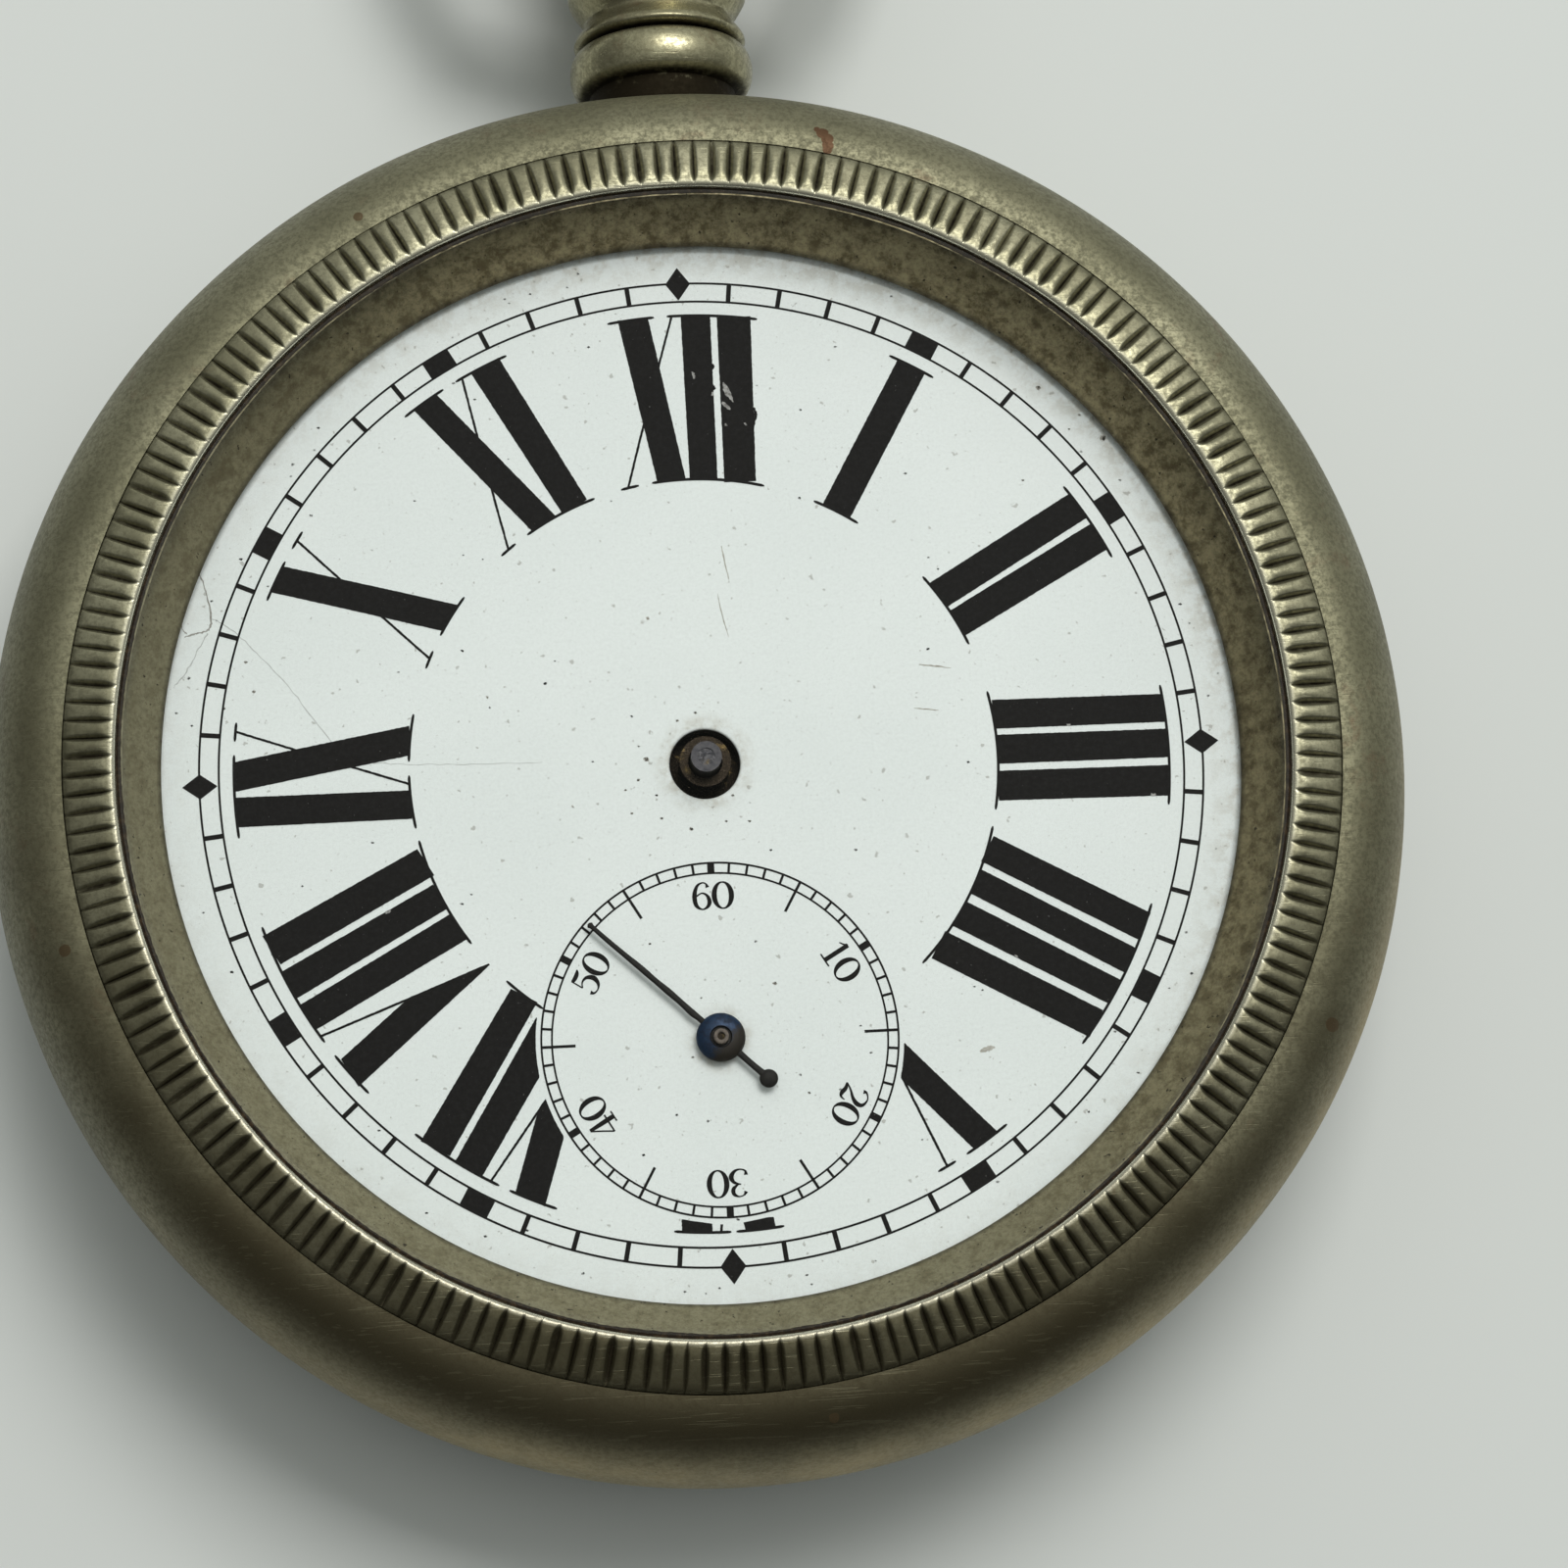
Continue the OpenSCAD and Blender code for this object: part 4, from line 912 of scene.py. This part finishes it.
# Strokes of the small figures in hundredths of their height, centred on x = 0, as (x, y, width)
FIGURES = {
    "0": [[(24.5 * sin(TAU * i / 24), 50 + 47 * cos(TAU * i / 24),
            4.5 + 11.5 * abs(sin(TAU * i / 24)) ** 1.6) for i in range(25)]],
    "1": [[(3, 0, 14), (3, 50, 14), (3, 100, 14)], [(-17, 80, 3), (-5, 90, 5),
          (3, 100, 6)], [(-18, 2, 4.5), (3, 2, 5), (24, 2, 4.5)]],
    "2": [[(-19, 72, 13), (-20, 84, 6), (-4, 97, 4.5), (16, 90, 10), (20, 70, 14),
           (10, 48, 10), (-8, 28, 6), (-22, 6, 4)],
          [(-22, 6, 6), (-6, 10, 12), (10, 5, 13), (21, 8, 7), (25, 24, 3)]],
    "3": [[(-18, 80, 12), (-12, 92, 5), (2, 97, 4.5), (16, 88, 11), (17, 70, 12),
           (4, 55, 5), (-5, 54, 4)],
          [(-2, 54, 4), (14, 47, 9), (22, 28, 15), (12, 8, 9), (-4, 2, 4.5),
           (-18, 8, 6), (-20, 22, 12)]],
    "4": [[(10, 0, 14), (10, 50, 14), (10, 100, 10)],
          [(8, 100, 4.5), (-10, 62, 4.5), (-27, 29, 4.5)],
          [(-28, 28, 5), (0, 28, 5), (27, 28, 5)],
          [(-6, 2, 4.5), (10, 2, 4.5), (26, 2, 4.5)]],
    "5": [[(-17, 93, 10), (-4, 91, 13), (10, 93, 12), (20, 99, 4)],
          [(-17, 97, 4), (-18, 75, 4), (-19, 52, 4)],
          [(-19, 52, 4), (-5, 62, 5), (12, 57, 10), (21, 34, 15), (13, 11, 10),
           (-2, 2, 4.5), (-17, 7, 6), (-20, 20, 12)]],
    "6": [[(17, 80, 12), (13, 93, 5), (2, 97, 4.5), (-13, 85, 9), (-21, 52, 14),
           (-17, 17, 12), (0, 2, 4.5), (16, 12, 10), (21, 31, 13), (14, 52, 8),
           (0, 60, 4.5), (-15, 50, 5)]],
}
FIGURE_H = 1.13
FIGURE_WIDE = 1.24
FIGURE_R = 5.77
FIGURE_PITCH = 0.84


def seconds_figures():
    parts = []
    for n, text in enumerate(("60", "10", "20", "30", "40", "50")):
        angle = 60 * n
        for k, digit in enumerate(text):
            offset = (k - 0.5) * FIGURE_PITCH
            for m, line in enumerate(FIGURES[digit]):
                placed = []
                for x, y, w in smooth_path([tuple(v / 100 for v in point) for point in line], 6):
                    px, py = on_dial(angle, offset + x * FIGURE_H * FIGURE_WIDE, FIGURE_R + (y - 0.5) * FIGURE_H,
                                     SECONDS)
                    placed.append((px, py, w * FIGURE_H * 1.16))
                parts.append(stroke(placed, INK_FOOT, INK_TOP + 0.002 * m))
    return joined(*parts)


# ---- marks of age on the dial

# Lines of wear as (x, y, width) in the dial's plane
SCRATCHES = (
    ((1.18, 9.0, 0.03), (1.26, 8.4, 0.07), (1.4, 7.6, 0.03)), ((0.9, 7.0, 0.02), (1.05, 6.1, 0.05), (1.25, 5.2, 0.02)),
    ((8.9, 3.7, 0.03), (9.5, 3.62, 0.07), (10.2, 3.5, 0.03)), ((8.6, 1.9, 0.03), (9.1, 1.84, 0.06), (9.6, 1.76, 0.02)),
    ((10.3, -12.2, 0.1), (10.6, -12.1, 0.22), (10.9, -12.05, 0.08)), ((-2.0, 6.16, 0.1), (-1.95, 6.06, 0.12)),
    ((-5.42, -1.46, 0.08), (-5.36, -1.54, 0.1)), ((-8.63, 3.18, 0.08), (-8.57, 3.12, 0.09)),
)
CRACKS = (
    ((-20.01, 8.91, 0.05), (-19.72, 8.16, 0.06), (-19.52, 6.95, 0.07), (-19.6, 6.47, 0.07), (-19.89, 6.32, 0.06),
     (-20.21, 6.28, 0.07), (-20.6, 6.17, 0.04)),
    ((-20.74, 7.3, 0.03), (-20.76, 6.9, 0.09), (-20.66, 6.5, 0.04), (-20.5, 6.28, 0.06)),
)
FAINT_CRACKS = (
    ((-19.68, 6.26, 0.05), (-20.11, 5.54, 0.05), (-20.65, 4.6, 0.06), (-21.1, 4.1, 0.03)),
    ((-19.5, 6.9, 0.03), (-18.6, 6.3, 0.04), (-17.6, 5.2, 0.045), (-16.5, 3.9, 0.04), (-15.4, 2.3, 0.045),
     (-14.2, 0.9, 0.03), (-12.8, 0.62, 0.04), (-11.2, 0.5, 0.035), (-9.0, 0.4, 0.04), (-6.5, 0.35, 0.02)),
)
# Specks as (x, y, diameter); more are strewn by chance
SPECKS = (
    (-2.34, 0.3, 0.18), (-2.7, -0.53, 0.1), (-3.24, -0.93, 0.08), (-2.01, -1.2, 0.09), (-3.03, -1.89, 0.1),
    (-1.85, -2.15, 0.1), (-0.69, -2.63, 0.14), (0.73, -2.38, 0.09), (1.66, -2.43, 0.1), (-0.27, 2.12, 0.1),
    (-1.01, 1.83, 0.1), (-2.62, 0.84, 0.07), (1.05, -1.34, 0.1), (-17.91, 3.79, 0.13), (-18.18, 5.02, 0.11),
    (-19.11, 3.15, 0.09), (17.11, 12.89, 0.24), (16.22, 13.92, 0.1), (14.6, 15.14, 0.18), (13.68, 11.24, 0.09),
    (15.75, 13.33, 0.08), (-2.59, -7.21, 0.09), (2.29, -9.05, 0.13), (3.39, -13.49, 0.1), (0.91, -11.38, 0.12),
    (-1.14, -11.84, 0.09), (-0.67, -9.48, 0.07),
)


def strewn(count):
    rng = random.Random(77)
    spots = []
    for _ in range(count):
        angle = rng.uniform(0, TAU)
        reach = rng.choice((rng.uniform(3, 21.2), rng.uniform(12, 21.2), rng.uniform(20.4, 21.3)))
        spots.append((reach * sin(angle), reach * cos(angle), rng.uniform(0.05, 0.12)))
    return spots


def specks(spots):
    rng = random.Random(78)
    return [[(x - d * 0.5, y + rng.uniform(-0.3, 0.3) * d, d * 0.5), (x, y, d), (x + d * 0.5, y, d * 0.5)]
            for x, y, d in spots]


# Chips in the twelve as (sideways, radius, width)
CHIPS = (
    ((1.64, 15.9, 0.08), (1.78, 15.5, 0.22), (2.0, 15.05, 0.03)), ((1.54, 15.05, 0.1), (1.86, 14.75, 0.13)),
    ((0.4, 16.4, 0.06), (0.44, 16.25, 0.1), (0.46, 16.1, 0.05)), ((1.62, 14.15, 0.06), (1.68, 14.05, 0.08)),
    ((2.42, 14.15, 0.06), (2.48, 14.05, 0.08)),
)
INK_BLOTS = (
    ((2.84, 14.8, 0.06), (2.88, 14.5, 0.14), (2.84, 14.25, 0.1), (2.8, 14.0, 0.05)),
    ((1.24, 16.7, 0.05), (1.27, 16.6, 0.12), (1.23, 16.48, 0.05)),
    ((1.22, 15.8, 0.05), (1.26, 15.7, 0.12), (1.22, 15.6, 0.05)),
)


def marks(lines, thickness, wander, seed):
    """Ragged thin strips on the dial."""
    rng = random.Random(seed)
    parts = []
    for line in lines:
        path = [(x + rng.uniform(-wander, wander), y + rng.uniform(-wander, wander), w * rng.uniform(0.6, 1.3))
                for x, y, w in smooth_path(line, 7)]
        parts.append(stroke(path, INK_FOOT, DIAL_Z + thickness))
    return joined(*parts)


def numeral_chips():
    """Small pale nicks in the hours, most of them on an edge of a stroke."""
    rng = random.Random(23)
    lines = list(CHIPS)
    for hour, shape in HOURS.items():
        for left, right, in_left, in_right in shape["bars"]:
            if rng.random() < 0.45:
                t = rng.uniform(0.1, 0.9)
                edge = rng.choice((left + (in_left - left) * t + 0.03, right + (in_right - right) * t - 0.03))
                r = NUMERAL_OUT + (NUMERAL_IN - NUMERAL_OUT) * t
                size = rng.uniform(0.04, 0.11)
                ends = ((edge, r + size), (edge + rng.uniform(-0.04, 0.04), r - size))
                lines.append([(*on_dial(30 * hour, s, q), size) for s, q in ends])
    return marks(lines, 0.022, 0.012, 3)


for name, mesh, material in (
        ("print_minute_track", minute_track(), INK), ("print_hours", numerals(), INK),
        ("print_seconds_track", seconds_track(), INK), ("print_seconds_figures", seconds_figures(), INK),
        ("dial_scratches", marks(SCRATCHES, 0.004, 0.01, 1), SCRATCH),
        ("dial_cracks", marks(CRACKS, 0.003, 0.02, 2), CRACK),
        ("dial_faint_cracks", marks(FAINT_CRACKS, 0.002, 0.03, 5), FAINT),
        ("dial_specks", marks(specks(SPECKS), 0.0025, 0.01, 6), SCRATCH),
        ("dial_faint_specks", marks(specks(strewn(110)), 0.0015, 0.012, 7), FAINT),
        ("numeral_chips", numeral_chips(), CHIP),
        ("numeral_blots", marks(INK_BLOTS, 0.019, 0.01, 4), INK)):
    piece(name, *mesh, "case", "enamel", [material], smooth=False)

# ---- seconds hand

HAND_READS = 52.3
HAND_L = 6.95
HAND_Z = low("seconds_hand").z + 0.26
BOSS_R = 0.98


def hand_point(along, across):
    return (*on_dial(6 * HAND_READS, across, along, SECONDS), HAND_Z)


def seconds_hand():
    stick = [(0.6, 0, 0.16, 0.07), (1.1, 0.01, 0.125, 0.065), (1.5, -0.005, 0.145, 0.065), (2.1, 0.015, 0.128, 0.06),
             (2.8, 0.02, 0.14, 0.06), (3.4, 0.01, 0.12, 0.058), (4.2, 0.015, 0.13, 0.055), (5.0, 0.0, 0.112, 0.052),
             (6.0, -0.01, 0.105, 0.05), (6.72, 0.0, 0.1, 0.05), (6.86, 0.0, 0.14, 0.06), (HAND_L, 0.0, 0.05, 0.03)]
    tail = [(-0.6, 0, 0.17, 0.07), (-1.0, 0, 0.14, 0.065), (-1.7, -0.01, 0.135, 0.06), (-2.2, 0, 0.15, 0.06)]
    rods = [sweep([(*hand_point(a, s), w, h) for a, s, w, h in smooth_path(line, 5)]) for line in (stick, tail)]
    ball = shifted(turned([(0, 0.1), (0.16, 0.095), (0.29, 0.06), (0.37, 0.01), (0.37, -0.03), (0.29, -0.07),
                           (0, -0.08)], 32, closed=False), *hand_point(-2.5, 0))
    boss = shifted(turned([(0.3, 0.14), (0.4, 0.15), (0.44, 0.25), (0.66, 0.22), (0.86, 0.13), (BOSS_R - 0.02, 0.04),
                           (BOSS_R, -0.02), (BOSS_R - 0.05, -0.07), (0.3, -0.07)], 64), *hand_point(0, 0))
    pipe = shifted(turned(rounded(slab(0.14, 0.315, -0.35, 0.38), 0.05, 3), 40), *hand_point(0, 0))
    arm = piece("seconds_hand_arm", *joined(*rods, ball), "fourth", "blued", [HAND_DARK])
    piece("seconds_hand_boss", *boss, "fourth", "blued", [BOSS_BLUED])
    piece("seconds_hand_pipe", *pipe, "fourth", "steel", [PIPE_WORN])
    return arm


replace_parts(seconds_hand(), "seconds_hand")

# ---- pendant and crown

PENDANT_TOP = high("pendant").y
PLUG_R = 2.0


def pendant_piece():
    ring = [(3.14 + 0.73 * sin(pi * i / 24) ** 0.7, 29.62 + 1.94 * (1 - cos(pi * i / 24)) / 2)
            for i in range(1, 24)]
    neck = smooth_path([(3.52, 31.78), (3.64, 31.92), (3.56, 32.15), (3.34, 32.45), (3.18, 32.75), (3.18, 32.95),
                        (3.4, 33.25), (3.68, 33.7), (3.8, 34.05), (3.78, 34.5), (3.72, 35.1), (3.7, 35.7),
                        (3.66, 36.3), (3.55, 36.9), (3.3, PENDANT_TOP)], 4)
    foot = [(1.3, 25.4), (PLUG_R, 25.4), (PLUG_R, 28.25), (3.0, 28.3), (3.02, 29.0), (3.1, 29.55)]
    groove = [(3.12, 31.58), (3.02, 31.63), (3.02, 31.72)]
    profile = foot + ring + groove + neck + [(1.3, PENDANT_TOP)]
    steps = 160
    # dirt values: the foot below the ring is near black and the ring's underside darkens towards it, dirt in the
    # crevice with painted shade under the ring; the groove above the ring holds dark dirt
    levels = [1.7] * 4 + [1.45, 1.2, 1.0, 0.8, 0.55, 0.3, 0.15] + [0.0] * (len(ring) - 5) + [1.7] * len(groove)
    levels += [0.0] * (len(profile) - len(levels))
    return piece("pendant_neck", *turned(profile, steps, place=stem_axis), "case", "case_metal", [PENDANT_METAL],
                 dirt=[level for level in levels for _ in range(steps)])


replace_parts(pendant_piece(), "pendant")

FLUTES = 26
FLUTE_DEPTH = 0.26


def crown_piece():
    y0 = CROWN_Y0
    profile = [(0.6, y0 + 0.35), (2.6, y0 + 0.3), (3.0, y0), (3.4, y0 + 0.05), (3.75, y0 + 0.35), (4.0, y0 + 0.75),
               (CROWN_R - 0.08, y0 + 1.2), (CROWN_R, y0 + 2.1), (CROWN_R - 0.02, y0 + 3.0),
               (CROWN_R - 0.14, y0 + 3.8), (CROWN_R - 0.5, y0 + 4.4), (3.2, y0 + 4.9), (2.7, y0 + 5.25),
               (2.0, y0 + 5.6), (1.2, y0 + 5.9), (0.5, CROWN_Y1 - 0.05), (0, CROWN_Y1)]
    fine = smooth_path(profile, 4)
    steps = FLUTES * 12

    def depth(h):
        """Depth of the flutes at a height, as a share of the deepest."""
        t = (h - y0 - 0.5) / 4.2
        return max(0.0, sin(pi * min(max(t, 0), 1))) ** 0.5

    def shape(i, j, r, h, a):
        return r - FLUTE_DEPTH * depth(h) * (0.5 - 0.5 * cos(FLUTES * a)) ** 1.5, h

    dirt = []
    for r, h in fine:
        if r < 1e-6:
            dirt.append(0.0)
        else:
            dirt += [depth(h) * (0.5 - 0.5 * cos(FLUTES * TAU * j / steps)) ** 3 for j in range(steps)]
    return piece("crown_fluted", *turned(fine, steps, place=stem_axis, closed=False, shape=shape), "crown",
                 "crown_metal", [CROWN_METAL], dirt=dirt)


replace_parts(crown_piece(), "crown")

# ---- crystal


def crystal_piece():
    top, edge_r, foot = high("crystal").z, high("crystal").x, low("crystal").z
    outer_r, inner_r = LIP_R - 0.12, LIP_R - 0.8
    shares = [i / 28 for i in range(29)]

    def dome(r, peak, base):
        return r, base + (peak - base) * (1 - (r / LIP_R) ** 2.4)

    outer = [(edge_r, foot), (edge_r, foot + 0.28), (outer_r, foot + 0.34), (outer_r, 13.2)]
    outer += [dome(outer_r * (1 - t), top, 13.28) for t in shares]
    inner = [dome(inner_r * t, top - 0.8, foot) for t in shares]
    return piece("crystal_dome", *turned(outer + inner, 240), "bezel", "crystal", [CRYSTAL])


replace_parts(crystal_piece(), "crystal")

# ---- CAD pieces that stay

FINISH = {
    "case_metal": CASE_METAL, "blued": BLUED, "steel": STEEL, "gilt": GILT, "nickel": NICKEL,
    "train_brass": TRAIN_BRASS, "ruby": RUBY,
}
SLOTS = {s["node"]: s["material_slot"] for s in frame["record"]["subparts"]}
for node, obj in frame["nodes"].items():
    if SLOTS[node] in FINISH and not obj.hide_render:
        for material_slot in obj.material_slots:
            material_slot.material = FINISH[SLOTS[node]]

# ---- floor, light and camera

FLOOR = 1500


def stage_floor():
    floor = shown("floor", [(-FLOOR, -FLOOR, 0), (FLOOR, -FLOOR, 0), (FLOOR, FLOOR, 0), (-FLOOR, FLOOR, 0)],
                  [(0, 1, 2, 3)])
    paint = Paint("floor_pale", (0.7, 0.725, 0.7), 0, 0.75)
    paint.coat((0.67, 0.693, 0.67), paint.noise(0.02, 3, 0.5))
    floor.data.materials.append(paint.done())


stage_floor()


def key_light():
    """A soft light high up beyond 12 o'clock, aimed at the origin; metres."""
    data = bpy.data.lights.new("key", "AREA")
    data.shape = "RECTANGLE"
    data.size, data.size_y = 0.46, 0.34
    data.energy = 3.5
    data.color = (1.0, 0.99, 0.97)
    light = link("key", data)
    light.location = (0.17, 0.36, 0.7)
    light.rotation_euler = (-light.location).to_track_quat("-Z", "Y").to_euler()


key_light()


def studio_world():
    """Bright above and towards 12 o'clock, dim along the horizon at the lower left."""
    world = bpy.data.worlds.new("studio")
    graph = Graph(world)
    sky = graph.node("TexCoord", "Generated", {})

    def toward(direction, *limits):
        """Light that grows towards a direction."""
        return graph.between(graph.node("VectorMath", "Value", {0: sky, 1: direction}, operation="DOT_PRODUCT"),
                             *limits)

    dome = toward((0.16, 0.42, 0.89), 0.1, 0.95, 0.02, 0.46)
    above = toward((0.08, 0.14, 0.987), 0.84, 1.0, 0.0, 0.4)
    far_side = toward((0.4, 0.91, 0.05), -0.1, 0.95, 0.0, 0.34)
    near_side = toward((-0.8, -0.55, 0.1), 0.3, 1.0, 0.0, 0.12)
    background = graph.nodes["Background"].inputs
    graph.feed((dome + above) + (far_side + near_side), background["Strength"])
    background["Color"].default_value = (0.96, 1.0, 0.97, 1)
    bpy.context.scene.world = world


studio_world()

# Where the watch stands before the camera: its turn as a rotation vector in degrees, and the dial's middle
VIEW_TURN = Vector((-11.374, 3.824, 3.043))
VIEW_PLACE = Vector((-3.183, 0.809, -168.496))
LENS = 96.2


def photo_camera():
    data = bpy.data.cameras.new("camera")
    data.lens = LENS
    data.sensor_width = 36
    data.clip_start = 0.005
    data.dof.use_dof = False
    camera = link("camera", data)
    turn = Matrix.Rotation(radians(VIEW_TURN.length), 4, VIEW_TURN.normalized())
    to_camera = Matrix.Translation(VIEW_PLACE * MM) @ turn
    camera.matrix_world = Matrix.Translation((0, 0, DIAL_Z * MM)) @ to_camera.inverted()
    bpy.context.scene.camera = camera


photo_camera()
bpy.context.scene.view_settings.view_transform = "Standard"
